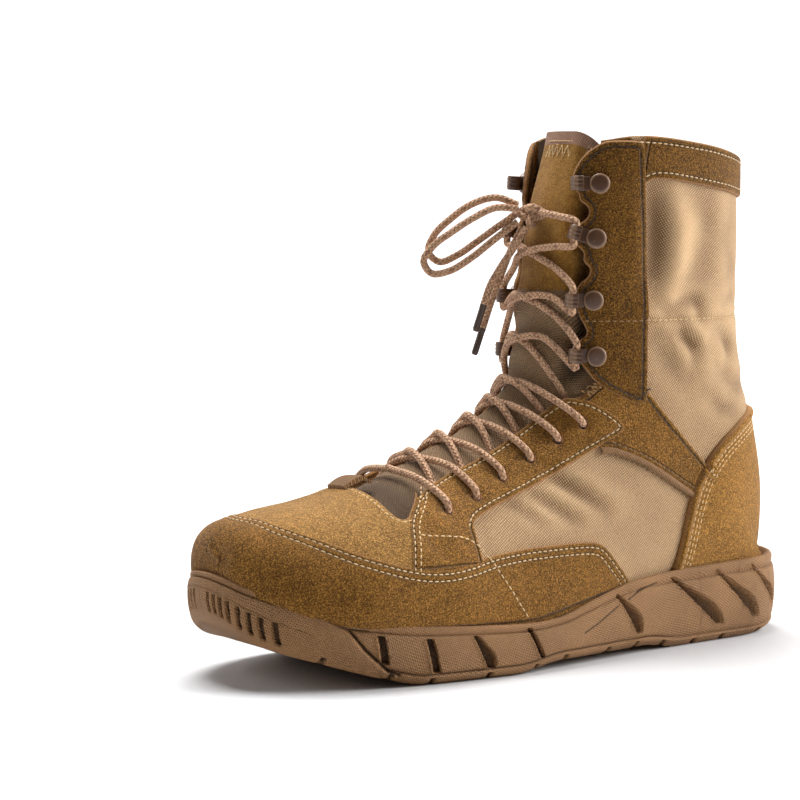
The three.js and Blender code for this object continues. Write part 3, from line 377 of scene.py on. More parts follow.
def relief(point):
    """Creases, the shaft's sewn line and a soft unevenness of hand-worked panels"""
    x, y, z = point[:, 0], point[:, 1], point[:, 2]
    total = np.zeros(len(point))
    flat = np.stack([x, z], -1)
    for line, depth, width, side in CREASES:
        near = (x > min(p[0] for p in line) - 25) & (x < max(p[0] for p in line) + 25)
        if side:
            near &= np.sign(y) == side
        if not near.any():
            continue
        d, t = segment_distance(flat[near], line)
        taper = np.sqrt(np.clip(np.sin(np.pi * np.clip(0.06 + 0.88 * t, 0, 1)), 0, 1))
        trough = -depth * hump(d, 0, width)
        swell = 0.45 * depth * hump(d, 2.1 * width, width)
        total[near] += (trough + swell) * taper
    shaft = ramp(x, 50, 58) * ramp(z, 120, 126)
    total -= 1.0 * shaft * hump(z, SEAM_HEIGHT, 1.6)
    total += 0.5 * shaft * hump(z, SEAM_HEIGHT, 9.0)
    wave = np.sin(x / 17.3 + 0.6) * np.sin(z / 21.7 + y / 31.0) + 0.6 * np.sin(x / 9.1 - z / 12.7 + 1.3)
    total += 0.22 * wave * ramp(z, 40, 60)
    return total


def inside(points, outline):
    """Which points lie inside a closed outline"""
    block = 4000
    if len(points) > block:
        return np.concatenate([inside(points[k : k + block], outline) for k in range(0, len(points), block)])
    x, y = points[:, 0][:, None], points[:, 1][:, None]
    a, b = outline, np.roll(outline, -1, axis=0)
    crosses = (a[None, :, 1] > y) != (b[None, :, 1] > y)
    slope = (b[:, 0] - a[:, 0]) / np.where(b[:, 1] == a[:, 1], 1e-12, b[:, 1] - a[:, 1])
    meet = a[None, :, 0] + (y - a[None, :, 1]) * slope[None, :]
    return (np.sum(crosses & (x < meet), axis=1) % 2) == 1


def even(line, spacing, closed=False):
    """The same line with points at even steps"""
    line = np.asarray(line, float)
    if closed:
        line = np.vstack([line, line[:1]])
    run = np.r_[0, np.cumsum(np.linalg.norm(np.diff(line, axis=0), axis=1))]
    count = max(int(round(run[-1] / spacing)), 3)
    at = np.linspace(0, run[-1], count + 1)
    result = np.stack([np.interp(at, run, line[:, k]) for k in range(line.shape[1])], -1)
    return result[:-1] if closed else result


def softened(line, turns=2, closed=True):
    """Corners cut round"""
    line = np.asarray(line, float)
    for _ in range(turns):
        if closed:
            following = np.roll(line, -1, axis=0)
            line = np.stack([0.75 * line + 0.25 * following, 0.25 * line + 0.75 * following], 1).reshape(-1, 2)
        else:
            inner = np.stack([0.75 * line[:-1] + 0.25 * line[1:], 0.25 * line[:-1] + 0.75 * line[1:]], 1)
            line = np.vstack([line[:1], inner.reshape(-1, 2)[1:-1], line[-1:]])
    return line


def slopes(flat, back, step=0.4):
    """How the surface runs along both ways of the flat map, with their products"""
    here = skin(flat, 0, back, folds=False)
    d_a = (skin(flat + [step, 0], 0, back, folds=False) - here) / step
    d_b = (skin(flat + [0, step], 0, back, folds=False) - here) / step
    return d_a, d_b, (d_a * d_a).sum(1), (d_a * d_b).sum(1), (d_b * d_b).sum(1)


def moved_in(flat, distance, back=False, closed=False, side=1):
    """A line on the flat map moved sideways by a true distance on the surface"""
    flat = np.asarray(flat, float)
    d_a, d_b, aa, ab, bb = slopes(flat, back)
    if closed:
        way = np.roll(flat, -1, axis=0) - np.roll(flat, 1, axis=0)
    else:
        way = np.gradient(flat, axis=0)
    tangent = d_a * way[:, :1] + d_b * way[:, 1:]
    normal = np.cross(d_a, d_b)
    across = np.cross(normal, tangent)
    across /= np.maximum(np.linalg.norm(across, axis=1, keepdims=True), 1e-9)
    across *= distance * side
    ra, rb = (d_a * across).sum(1), (d_b * across).sum(1)
    det = np.maximum(aa * bb - ab * ab, 1e-6)
    shift = np.stack([(bb * ra - ab * rb) / det, (aa * rb - ab * ra) / det], -1)
    size = np.linalg.norm(shift, axis=1, keepdims=True)
    return flat + shift * np.minimum(1, 3 * abs(distance) / np.maximum(size, 1e-9))


def turned_in(outline):
    """1 where moved_in with side 1 goes inwards, for a closed outline, else -1"""
    x, y = outline[:, 0], outline[:, 1]
    return 1 if np.sum(x * np.roll(y, -1) - np.roll(x, -1) * y) > 0 else -1


def make_object(name, vertices, faces, uv=None, values=None, smooth=True, sharp=50):
    """A mesh object at the origin from millimetre points"""
    mesh = bpy.data.meshes.new(name)
    mesh.from_pydata((np.asarray(vertices) * MM).tolist(), [], faces)
    for key, value in (values or {}).items():
        attribute = mesh.attributes.new(key, "FLOAT", "POINT")
        attribute.data.foreach_set("value", np.asarray(value, np.float32))
    if uv is not None:
        corner = np.zeros(len(mesh.loops), int)
        mesh.loops.foreach_get("vertex_index", corner)
        layer = mesh.uv_layers.new(name="weave")
        layer.data.foreach_set("uv", np.asarray(uv, np.float32)[corner].ravel())
    mesh.validate()
    if smooth:
        mesh.shade_smooth()
        mesh.set_sharp_from_angle(angle=math.radians(sharp))
    obj = bpy.data.objects.new(name, mesh)
    bpy.context.collection.objects.link(obj)
    return obj


def merged(obj, distance=0.02):
    shape = bmesh.new()
    shape.from_mesh(obj.data)
    bmesh.ops.remove_doubles(shape, verts=shape.verts, dist=distance * MM)
    shape.to_mesh(obj.data)
    shape.free()
    return obj


def weave_place(point):
    """Where the cloth's weave lies: along the foot low down, round the shaft above"""
    x, y, z = point[:, 0], point[:, 1], point[:, 2]
    angle = np.linspace(0, np.pi, 181)
    oval = np.stack([-55 * np.cos(angle), 37 * np.sin(angle)], -1)
    run = np.r_[0, np.cumsum(np.linalg.norm(np.diff(oval, axis=0), axis=1))]
    turn = np.arctan2(np.abs(y) / 37, -(x - 75) / 55)
    round_shaft = np.interp(turn, angle, run)
    foot = z < 105 - 0.5 * (x - 30)
    return np.stack([np.where(foot, x, round_shaft), z], -1)


def sheet_mesh(name, outline, top, bottom, rings, spacing, holes=(), back=False, edge_drop=0.5, shape_edge=None,
               halves=False):
    """A closed sheet on the last from an outline on the flat map, with its own edge and holes.
    top and bottom are lifts; edge_drop is how much of the thickness rounds off at the edge.
    With halves the outline is one half, from middle line to middle line"""
    if halves:
        half = even(outline, 1.3)
        if not back:
            place, down = from_flat(half)
            at_foot = np.abs(down) > 0.965
            half[at_foot, 1] = (np.sign(down) * np.interp(place, places, side_length))[at_foot]
        outline = mirrored(half)
    else:
        outline = even(outline, 1.3, closed=True)
    loops = [outline] + [even(hole, 0.9, closed=True) for hole in holes]
    way = turned_in(outline)
    extra = []
    lines3 = [skin(np.vstack([loop, loop[:1]]), 0, back, folds=False) for loop in loops]

    def on_seam(flat):
        place, down = from_flat(flat, back)
        return (np.abs(np.abs(down) - 1) < 1e-3) & (np.interp(place, places, closed_row.astype(float)) > 0.5)

    ring_seam = on_seam(np.vstack([outline, outline[:1]]))
    free_edges, run = [], []
    for k in range(len(outline) + 1):
        if ring_seam[k]:
            if len(run) > 1:
                free_edges.append(np.array(run))
            run = []
        else:
            run.append(lines3[0][k])
    if len(run) > 1:
        free_edges.append(np.array(run))
    for inset in rings:
        for k, loop in enumerate(loops):
            if k and inset > 1.2:
                continue
            side = way if k == 0 else -turned_in(loop)
            ring = moved_in(loop, inset, back, closed=True, side=side)
            extra.append(ring)
    extra = np.vstack(extra)
    low, high = outline.min(0), outline.max(0)

    def lattice(step):
        rows = np.arange(low[0] + step / 3, high[0], step * 0.866)
        return np.vstack([
            np.stack([np.full(n.size, a), n], -1)
            for k, a in enumerate(rows)
            for n in [np.arange(low[1] + (k % 2) * step / 2, high[1], step)]
        ])

    def stretch(flat):
        aa, ab, bb = slopes(flat, back)[2:]
        return np.sqrt(0.5 * (aa + bb + np.sqrt((aa - bb) ** 2 + 4 * ab * ab)))

    coarse, fine = lattice(spacing), lattice(spacing * 0.45)
    coarse, fine = coarse[inside(coarse, outline)], fine[inside(fine, outline)]
    grid = np.vstack([coarse[stretch(coarse) <= 1.5], fine[stretch(fine) > 1.5]])

    def keep(points, clear):
        ok = inside(points, outline)
        for hole in loops[1:]:
            ok &= ~inside(points, hole)
        points, clear = points[ok], clear[ok]
        distance = np.full(len(points), 1e9)
        place = skin(points, 0, back, folds=False)
        for line in lines3:
            distance = np.minimum(distance, segment_distance(place, line)[0])
        return points[distance > clear]

    ring_clear = np.concatenate([
        np.full(len(loop), 0.8 * inset)
        for inset in rings for k, loop in enumerate(loops) if not (k and inset > 1.2)
    ])
    extra = keep(extra, ring_clear)
    grid = keep(grid, np.full(len(grid), max(rings) + 0.5 * spacing))
    points = np.vstack(loops + [extra, grid])
    edges, start = [], 0
    for loop in loops:
        n = len(loop)
        edges += [(start + i, start + (i + 1) % n) for i in range(n)]
        start += n
    result = delaunay_2d_cdt([Vector(p) for p in points], edges, [], 1, 1e-4)
    flat = np.array([v[:] for v in result[0]])
    triangles = np.array(result[2])
    centre = flat[triangles].mean(axis=1)
    ok = np.ones(len(centre), bool)
    for hole in loops[1:]:
        ok &= ~inside(centre, hole)
    triangles = triangles[ok]
    plain = skin(flat, 0, back, folds=False)
    one, two, three = flat[triangles[:, 0]], flat[triangles[:, 1]], flat[triangles[:, 2]]
    turned = np.cross(two - one, three - one) < 0
    triangles[turned] = triangles[turned][:, ::-1]
    corners = plain[triangles]
    face_normal = np.cross(corners[:, 1] - corners[:, 0], corners[:, 2] - corners[:, 0])
    place, down = from_flat(flat, back)
    outward = sample(normals, place, down)
    if (face_normal * outward[triangles[:, 0]]).sum() < 0:
        triangles = triangles[:, ::-1]
    row = np.full(len(flat), 1e9)
    for line in free_edges:
        row = np.minimum(row, segment_distance(plain, line)[0])
    distance = row.copy()
    for line in lines3[1:]:
        distance = np.minimum(distance, segment_distance(plain, line)[0])
    thickness = top - bottom
    drop = edge_drop * thickness * (1 - np.minimum(distance / 1.0, 1)) ** 2.2
    lift = top - drop
    if shape_edge is not None:
        lift = lift + shape_edge(distance, flat)
    upper_side = skin(flat, lift, back)
    lower_side = skin(flat, bottom, back)
    count = len(flat)
    faces = triangles.tolist() + (triangles[:, ::-1] + count).tolist()
    pairs = {}
    for a, b, c in triangles:
        for e in ((a, b), (b, c), (c, a)):
            pairs[e] = pairs.get(e, 0) + 1
    seam = on_seam(flat)
    for (a, b) in pairs:
        if (b, a) in pairs or (seam[a] and seam[b] and not back):
            continue
        faces.append([b, a, a + count, b + count])
    vertices = np.vstack([upper_side, lower_side])
    edge = np.r_[distance, np.full(count, -1.0)]
    # painted shading from the creases: painted shade in their troughs, painted light on the swells beside them
    painted_shading = relief(plain)
    uv = np.vstack([weave_place(plain)] * 2)
    return make_object(
        name, vertices, faces, uv * MM,
        {"edge": edge, "row": np.r_[row, np.full(count, -1.0)], "painted_shading": np.r_[painted_shading, painted_shading]},
    )


class Value:
    """A shader socket that takes part in sums"""

    def __init__(self, tree, socket):
        self.tree, self.socket = tree, socket

    def math(self, operation, *others, clamp=False):
        node = self.tree.nodes.new("ShaderNodeMath")
        node.operation, node.use_clamp = operation, clamp
        for socket, value in zip(node.inputs, (self, *others)):
            if isinstance(value, Value):
                self.tree.links.new(value.socket, socket)
            else:
                socket.default_value = value
        return Value(self.tree, node.outputs[0])

    def flipped(self, operation, first):
        node = self.tree.nodes.new("ShaderNodeMath")
        node.operation = operation
        node.inputs[0].default_value = first
        self.tree.links.new(self.socket, node.inputs[1])
        return Value(self.tree, node.outputs[0])

    def __add__(self, other):
        return self.math("ADD", other)

    def __sub__(self, other):
        return self.math("SUBTRACT", other)

    def __mul__(self, other):
        return self.math("MULTIPLY", other)

    def __truediv__(self, other):
        return self.math("DIVIDE", other)

    def __radd__(self, first):
        return self.math("ADD", first)

    def __rmul__(self, first):
        return self.math("MULTIPLY", first)

    def __rsub__(self, first):
        return self.flipped("SUBTRACT", first)

    def between(self, low, high):
        """0 at low, 1 at high, smooth and held outside"""
        t = ((self - low) / (high - low)).math("ADD", 0.0, clamp=True)
        return t * t * (3.0 - 2.0 * t)

    def near(self, centre, width):
        """1 at centre, falling to 0 a width away"""
        t = ((self - centre) / width).math("ABSOLUTE").math("MINIMUM", 1.0)
        return 1.0 - t * t * (3.0 - 2.0 * t)


class Finish:
    """One material and its nodes"""

    def __init__(self, name, roughness=0.8, metallic=0.0, specular=0.5, sheen=0.0, sheen_roughness=0.5):
        self.material = bpy.data.materials.new(name)
        self.material.use_nodes = True
        self.tree = self.material.node_tree
        self.tree.nodes.clear()
        self.shader = self.tree.nodes.new("ShaderNodeBsdfPrincipled")
        output = self.tree.nodes.new("ShaderNodeOutputMaterial")
        self.tree.links.new(self.shader.outputs[0], output.inputs[0])
        self.shader.inputs["Roughness"].default_value = roughness
        self.shader.inputs["Metallic"].default_value = metallic
        self.shader.inputs["Specular IOR Level"].default_value = specular
        self.shader.inputs["Sheen Weight"].default_value = sheen
        self.shader.inputs["Sheen Roughness"].default_value = sheen_roughness

    def node(self, kind, settings=None, sockets=None):
        node = self.tree.nodes.new("ShaderNode" + kind)
        for key, value in (settings or {}).items():
            setattr(node, key, value)
        for key, value in (sockets or {}).items():
            if isinstance(value, Value):
                self.tree.links.new(value.socket, node.inputs[key])
            elif isinstance(value, bpy.types.NodeSocket):
                self.tree.links.new(value, node.inputs[key])
            else:
                node.inputs[key].default_value = value
        return node

    def place(self):
        return self.node("TexCoord").outputs["Object"]

    def weave(self):
        parts = self.node("SeparateXYZ", None, {0: self.node("UVMap", {"uv_map": "weave"}).outputs[0]})
        return Value(self.tree, parts.outputs[0]), Value(self.tree, parts.outputs[1])

    def field(self, name):
        return Value(self.tree, self.node("Attribute", {"attribute_name": name}).outputs["Fac"])

    def noise(self, scale, detail=2.0, rough=0.5, at=None, stretch=None):
        where = at or self.place()
        if stretch:
            where = self.node("VectorMath", {"operation": "MULTIPLY"}, {0: where, 1: stretch}).outputs[0]
        sockets = {"Vector": where, "Scale": scale, "Detail": detail, "Roughness": rough}
        return Value(self.tree, self.node("TexNoise", None, sockets).outputs["Fac"])

    def mix(self, factor, first, second):
        node = self.tree.nodes.new("ShaderNodeMix")
        node.data_type = "RGBA"
        for socket, value in ((node.inputs[0], factor), (node.inputs[6], first), (node.inputs[7], second)):
            if isinstance(value, Value):
                self.tree.links.new(value.socket, socket)
            elif isinstance(value, bpy.types.NodeSocket):
                self.tree.links.new(value, socket)
            elif isinstance(value, tuple):
                socket.default_value = (*value, 1.0)
            else:
                socket.default_value = value
        return node.outputs[2]

    def colour(self, socket):
        self.tree.links.new(socket, self.shader.inputs["Base Color"])

    def roughness(self, value):
        self.tree.links.new(value.socket, self.shader.inputs["Roughness"])

    def bump(self, height, distance, strength=1.0):
        sockets = {"Strength": strength, "Distance": distance, "Height": height}
        node = self.node("Bump", None, sockets)
        self.tree.links.new(node.outputs[0], self.shader.inputs["Normal"])


def srgb(r, g, b):
    """Linear colour from screen values of 0 to 255"""
    shares = [c / 255 for c in (r, g, b)]
    return tuple(c / 12.92 if c <= 0.04045 else ((c + 0.055) / 1.055) ** 2.4 for c in shares)


def suede(name, light, dark, rows=(2.4,), nap=1.0):
    """Brushed suede with a paler cut edge, pressed stitch lines and pale specks, with painted shade in creases and
    painted light on their swells
    """
    finish = Finish(name, roughness=0.95, specular=0.12, sheen=0.12, sheen_roughness=0.5)
    grain = finish.noise(1550.0, 2.0, 0.7)
    fleck = finish.noise(2300.0, 1.0, 0.6)
    cloud = finish.noise(30.0, 4.0, 0.6)
    brushed = finish.noise(260.0, 3.0, 0.6)
    edge, row, painted_shading = finish.field("edge"), finish.field("row"), finish.field("painted_shading")
    speckle = (grain - 0.5) * 2.2 * nap + (fleck - 0.5) * 1.2 * nap
    # painted_shading adds painted shade in the creases and painted light on the swells beside them
    shade = 0.42 + speckle + (cloud - 0.5) * 0.55 + (brushed - 0.5) * 0.7 + painted_shading * 0.10
    base = finish.mix(shade.math("ADD", 0.0, clamp=True), dark, light)
    base = finish.mix(grain.between(0.54, 0.63) * 0.6 * nap, base, tuple(min(1.0, 1.7 * c) for c in light))
    pressed = None
    for place in rows:
        line = row.near(place, 0.8)
        pressed = line if pressed is None else pressed.math("MAXIMUM", line)
    if pressed is not None:
        base = finish.mix(pressed * 0.45, base, tuple(0.4 * c for c in dark))
    cut = edge.between(0.9, 0.3) * edge.between(-0.6, -0.1)
    base = finish.mix(cut * 0.6, base, srgb(178, 132, 90))
    finish.colour(base)
    height = grain * 0.6 + fleck * 0.25 + brushed * 0.5
    if pressed is not None:
        height = height - pressed * 1.3
    finish.bump(height, 0.0009, 1.0)
    return finish.material


def nylon(name, light, dark, pitch=1.15, cloudy=0.5):
    """Woven nylon, a fine diagonal twill"""
    finish = Finish(name, roughness=0.75, specular=0.25, sheen=0.15, sheen_roughness=0.35)
    u, v = finish.weave()
    wobble = finish.noise(110.0, 2.0, 0.5)
    turn = 2 * math.pi / (pitch * MM)
    warp = ((u + v * 0.62) * turn + wobble * 2.2).math("SINE")
    weft = ((u * 0.55 - v) * turn + wobble * 2.2).math("SINE")
    cloth = warp * 0.55 + weft * 0.45 + warp * weft * 0.4
    cloud = finish.noise(24.0, 3.0, 0.5)
    fibre = finish.noise(1500.0, 2.0, 0.6)
    painted_shading = finish.field("painted_shading")
    # painted_shading adds painted shade in creases and dips, and painted light on swells
    shade = 0.52 + cloth * 0.46 + (cloud - 0.5) * cloudy + (fibre - 0.5) * 0.7 + painted_shading * 0.20
    base = finish.mix(shade.math("ADD", 0.0, clamp=True), dark, light)
    dust = finish.noise(60.0, 4.0, 0.65).between(0.62, 0.8)
    base = finish.mix(dust * 0.12, base, srgb(205, 180, 145))
    finish.colour(base)
    finish.bump(cloth * 0.6 + fibre * 0.3, 0.0005, 0.9)
    return finish.material


def rubber(name, light, dark):
    """Matte moulded rubber with fine curving ridges"""
    finish = Finish(name, roughness=0.6, specular=0.35)
    u, v = finish.weave()
    sway = finish.noise(24.0, 1.0, 0.4)
    turn = 2 * math.pi / (1.15 * MM)
    first = ((u * 0.45 + v) * turn + sway * 110.0).math("SINE")
    second = ((u * 0.8 - v * 0.6) * turn - sway * 60.0).math("SINE")
    ripple = first * 0.45 + first * second * 0.75
    cloud = finish.noise(30.0, 4.0, 0.6)
    fine = finish.noise(1100.0, 2.0, 0.6)
    # on the sole the edge attribute carries painted shading: painted shade in grooves, slots and gaps, and a painted
    # highlight on groove rims where it is negative
    edge = finish.field("edge")
    # the ripples' colour, lighter on their ridges and darker in their valleys, is painted light and shade over their
    # bump
    shade = 0.52 + ripple * 0.32 + (cloud - 0.5) * 0.8 + (fine - 0.5) * 0.5
    base = finish.mix(shade.math("ADD", 0.0, clamp=True), dark, light)
    # painted shade in the sole's grooves, slots and gaps
    base = finish.mix(edge.between(0.2, 0.9) * 0.85, base, tuple(0.16 * c for c in dark))
    # painted highlight along the grooves' rims
    painted_rim_highlight = edge.between(0.0, -0.5)
    base = finish.mix(painted_rim_highlight * 0.75, base, srgb(212, 170, 124))
    scuff = finish.noise(75.0, 5.0, 0.7).between(0.60, 0.74)
    base = finish.mix(scuff * 0.15, base, srgb(200, 162, 122))
    finish.colour(base)
    finish.roughness(0.52 + cloud * 0.25)
    finish.bump(ripple * 0.6 + fine * 0.3, 0.0005, 0.9)
    return finish.material


def braid(name):
    """Round braided lace of two tones; u runs along it, v round it"""
    finish = Finish(name, roughness=0.75, specular=0.25, sheen=0.2)
    u, v = finish.weave()
    along, around = u / (2.1 * MM), v * 5.0
    first, second = along + around, along - around
    a, b = first.math("FRACT"), second.math("FRACT")
    cell = ((first.math("FLOOR") + second.math("FLOOR")) * 0.5).math("FRACT") * 2.0
    round_a = 1.0 - (a * 2.0 - 1.0) * (a * 2.0 - 1.0)
    round_b = 1.0 - (b * 2.0 - 1.0) * (b * 2.0 - 1.0)
    height = round_a * cell + round_b * (1.0 - cell)
    strand = (second.math("FLOOR") * 0.2).math("FRACT")
    darker = (1.0 - cell) * strand.math("LESS_THAN", 0.1)
    fibre = finish.noise(1500.0, 2.0, 0.6)
    tan = finish.mix(fibre, srgb(186, 140, 104), srgb(222, 178, 140))
    brown = finish.mix(fibre, srgb(140, 100, 72), srgb(182, 136, 102))
    base = finish.mix(darker, tan, brown)
    # painted shade in the gaps between the strands
    base = finish.mix((1.0 - height.between(0.1, 0.7)) * 0.62, base, srgb(84, 56, 38))
    finish.colour(base)
    finish.bump(height, 0.0006, 1.0)
    return finish.material


def thread(name, light, dark):
    finish = Finish(name, roughness=0.6, specular=0.3, sheen=0.2)
    finish.colour(finish.mix(finish.noise(900.0, 2.0), dark, light))
    finish.bump(finish.noise(2600.0, 1.0), 0.0002, 0.6)
    return finish.material


def paint(name, light, dark):
    """Brown paint on metal, worn a little on its edges, with a painted highlight on the rivet's rim"""
    finish = Finish(name, roughness=0.42, specular=0.5)
    cloud, fine = finish.noise(120.0, 4.0, 0.6), finish.noise(1800.0, 2.0)
    base = finish.mix(cloud, dark, light)
    worn = finish.noise(420.0, 4.0, 0.7).between(0.62, 0.72)
    base = finish.mix(worn * 0.3, base, srgb(176, 150, 122))
    base = finish.mix(finish.field("wear_and_highlight") * 0.5, base, srgb(168, 134, 104))
    finish.colour(base)
    finish.roughness(0.22 + cloud * 0.25)
    finish.bump(fine, 0.00008, 0.5)
    return finish.material


def lining(name, light, dark):
    finish = Finish(name, roughness=0.9, specular=0.1)
    u, v = finish.weave()
    turn = 2 * math.pi / (1.3 * MM)
    knit = (u * turn).math("SINE") * (v * turn).math("SINE")
    shade = 0.5 + knit * 0.25 + (finish.noise(40.0) - 0.5) * 0.6
    finish.colour(finish.mix(shade.math("ADD", 0.0, clamp=True), dark, light))
    finish.bump(knit, 0.0003, 0.6)
    return finish.material


SUEDE_LIGHT, SUEDE_DARK = srgb(152, 106, 44), srgb(72, 46, 11)
HEEL_DARK = srgb(96, 64, 22)
suede_toe = suede("suede_toe", SUEDE_LIGHT, SUEDE_DARK, rows=(2.4, 5.2))
suede_vamp = suede("suede_vamp", srgb(172, 128, 66), srgb(92, 63, 26), rows=(), nap=0.9)
suede_panel = suede("suede_panel", SUEDE_LIGHT, SUEDE_DARK)
# a darker copy of the panel suede for the hook facings, the collar band and the shell's front: painted shade for faces
# that get little light
suede_painted_shade = suede("suede_painted_shade", srgb(134, 92, 34), srgb(52, 32, 5), rows=(2.8,))
suede_heel = suede("suede_heel", srgb(168, 120, 52), HEEL_DARK, rows=())
suede_tongue = suede("suede_tongue", srgb(180, 132, 62), srgb(96, 64, 20), rows=(), nap=0.4)
cloth = nylon("nylon_cloth", srgb(232, 193, 146), srgb(112, 82, 50))
# a darker copy of the nylon for the tongue's lower part: painted shade for the tongue lying deep between the eyestays
cloth_shade = nylon("nylon_tongue_painted_shade", srgb(178, 144, 106), srgb(84, 62, 40))
inner = lining("lining", srgb(70, 52, 36), srgb(32, 23, 15))
sole_rubber = rubber("sole_rubber", srgb(178, 133, 88), srgb(108, 74, 41))
lace_braid = braid("lace_braid")
webbing = nylon("webbing_tan", srgb(178, 136, 92), srgb(98, 68, 40))
binding = nylon("binding_tan", srgb(184, 142, 116), srgb(116, 82, 62), pitch=0.8)
pale_thread = thread("pale_thread", srgb(240, 210, 160), srgb(192, 154, 104))
tan_thread = thread("tan_thread", srgb(170, 128, 76), srgb(110, 78, 40))
dark_thread = thread("dark_thread", srgb(74, 52, 26), srgb(40, 26, 10))
hook_paint = paint("hook_paint", srgb(98, 66, 42), srgb(60, 38, 24))
aglet_paint = paint("aglet_paint", srgb(84, 60, 44), srgb(44, 30, 22))


def dress(obj, *materials):
    obj.data.materials.clear()
    for material in materials:
        obj.data.materials.append(material)
    return obj


def settle(obj, slot, *nodes):
    """The piece rides on the boot and stands for its solids"""
    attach(obj, "root")
    if nodes:
        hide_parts(*nodes)
    return obj


# Outlines seen from the side, x and z, from the photo's own proportions
RAND = [(-131, 70.5), (-131, 68.3), (-127.4, 67.1), (-122.9, 65.2), (-110.5, 60.2), (-97.7, 54.6), (-81.7, 49.7),
        (-66.3, 47.5), (-51.3, 48.6), (-38.7, 51), (-22.6, 52.3), (-7.6, 52.9), (15.1, 53.0), (21.1, 52.1),
        (25.1, 50.2), (32.6, 41.7), (39.3, 34.4), (42, 28)]
STAY_FRONT = [(-81.5, 46.5), (-80.6, 51), (-77.3, 59), (-73.6, 66.8), (-62.7, 75), (-58, 80)]
STAY_REAR = [(-42.8, 46), (-42.8, 62.7), (-41.2, 65.6), (-30.2, 69.7), (-13.5, 74.7), (5.1, 81.5), (30.5, 93.3),
             (41.7, 98.4), (44.2, 100.2), (44.6, 102.1), (42.6, 104.7), (37.6, 108.9), (29.3, 114), (23.5, 115)]
COUNTER = [(67, 28), (70.2, 37.3), (75.8, 53.0), (79.8, 64.5), (83.2, 74.0), (89.2, 83.0), (99.2, 92.4), (111.3, 99.2),
           (119.5, 102.4), (138, 106.4), (146, 107.2)]
ANKLE_LOW = [(31.4, 92.2), (37, 92.7), (52.4, 86.8), (67, 78.6), (80.8, 70.4), (86, 66)]
ANKLE_HIGH = [(96, 77), (88.2, 84.1), (71.2, 101), (57.2, 116.7), (48, 128)]
FACING_FOOT = [(56.3, 113), (53, 111), (47, 112.8), (33.1, 120.4), (27.8, 129.2)]
FACING_FRONT = [
    (26.2, 131.5), (25.7, 136.3), (26.4, 141), (29.6, 143.2), (28.6, 147), (27.0, 150), (25.4, 155), (25.2, 161),
    (26.0, 166), (29.6, 169), (30.6, 173), (27.6, 176), (28.6, 180), (26.0, 183), (25.8, 188), (27.0, 192.4), (30.6, 195),
    (31.4, 200), (28.2, 203), (28.6, 206), (26.4, 209), (26.9, 213), (28.6, 219), (31.6, 224.4), (36.4, 228.6),
]
BAND_LOW = [(50.0, 209.6), (54.2, 210.4), (58.5, 213.4), (77.7, 210.9), (114.1, 205.4), (131, 203), (146, 201.2)]
COLLAR = np.array([[15.1, 229], [32, 229.4], [51.6, 232], [83, 229], [114.8, 223.6], [131, 220]])
THROAT = np.array([
    [0.335, 0.40], [0.352, 0.42], [0.375, 0.38], [0.40, 0.32], [0.425, 0.285], [0.48, 0.245], [0.545, 0.232],
    [0.605, 0.217], [0.656, 0.212], [0.702, 0.222], [0.738, 0.25], [0.765, 0.25], [0.79, 0.205], [0.82, 0.19],
    [0.88, 0.19], [0.95, 0.19], [1.0, 0.2],
])
throat_curve = soft_curve(THROAT[:, 0], THROAT[:, 1])
EYELETS = np.array([[0.44, 0.417], [0.502, 0.389], [0.554, 0.35], [0.602, 0.333], [0.654, 0.322], [0.702, 0.322]])
HOOKS = np.array([[0.96, 0.2], [0.919, 0.194], [0.862, 0.183], [0.804, 0.194]])
collar_curve = soft_curve(COLLAR[:, 0], COLLAR[:, 1])


def other_side(flat):
    return np.asarray(flat) * [1, -1]


def both(flat_lateral):
    """A line from the lateral side over the ridge to the medial side"""
    return np.vstack([flat_lateral, other_side(flat_lateral)[::-1]])


def edge_at_foot(place_from, place_to, side, steps=60, back=False):
    """The last's lower edge on one side"""
    place = np.linspace(place_from, place_to, steps)
    return to_flat(place, np.full(steps, float(side)), back)


def collar_line(downs, inset=0.0):
    """Flat places along the collar for shares round the shaft"""
    found = []
    for down in downs:
        place = np.linspace(0.93, 1.0, 71)
        point = sample(table, place, np.full(71, down))
        over = point[:, 2] - (collar_curve(point[:, 0]) - inset)
        k = int(np.argmax(over > 0)) if (over > 0).any() else 70
        if k == 0:
            found.append(place[0])
        else:
            t = over[k - 1] / (over[k - 1] - over[k]) if over[k] != over[k - 1] else 0
            found.append(place[k - 1] + t * (place[k] - place[k - 1]) if over[k] > 0 else 1.0)
    return np.array(found)


def eyelet_holes(side, radius=2.3):
    holes = []
    for place, share in EYELETS:
        centre = to_flat([place], [side * share])
        angle = np.linspace(0, 2 * np.pi, 20, endpoint=False)
        here = skin(centre, 0, folds=False)[0]
        wide_a, wide_b = [np.linalg.norm(skin(centre + way, 0, folds=False)[0] - here) for way in ([1, 0], [0, 1])]
        holes.append(centre + radius * np.stack([np.cos(angle) / wide_a, np.sin(angle) / wide_b], -1))
    return holes


UNDER = -0.35
EDGE_RINGS = (0.35, 1.0, 1.7, 2.4, 3.1)


def panel(name, node, material, outline, top, rings=EDGE_RINGS, spacing=1.9, **more):
    """A suede panel on the last, with extra rings of points where its stitches press"""
    piece = sheet_mesh(name, outline, top, UNDER, rings, spacing, **more)
    return settle(dress(piece, material), "suede", node)


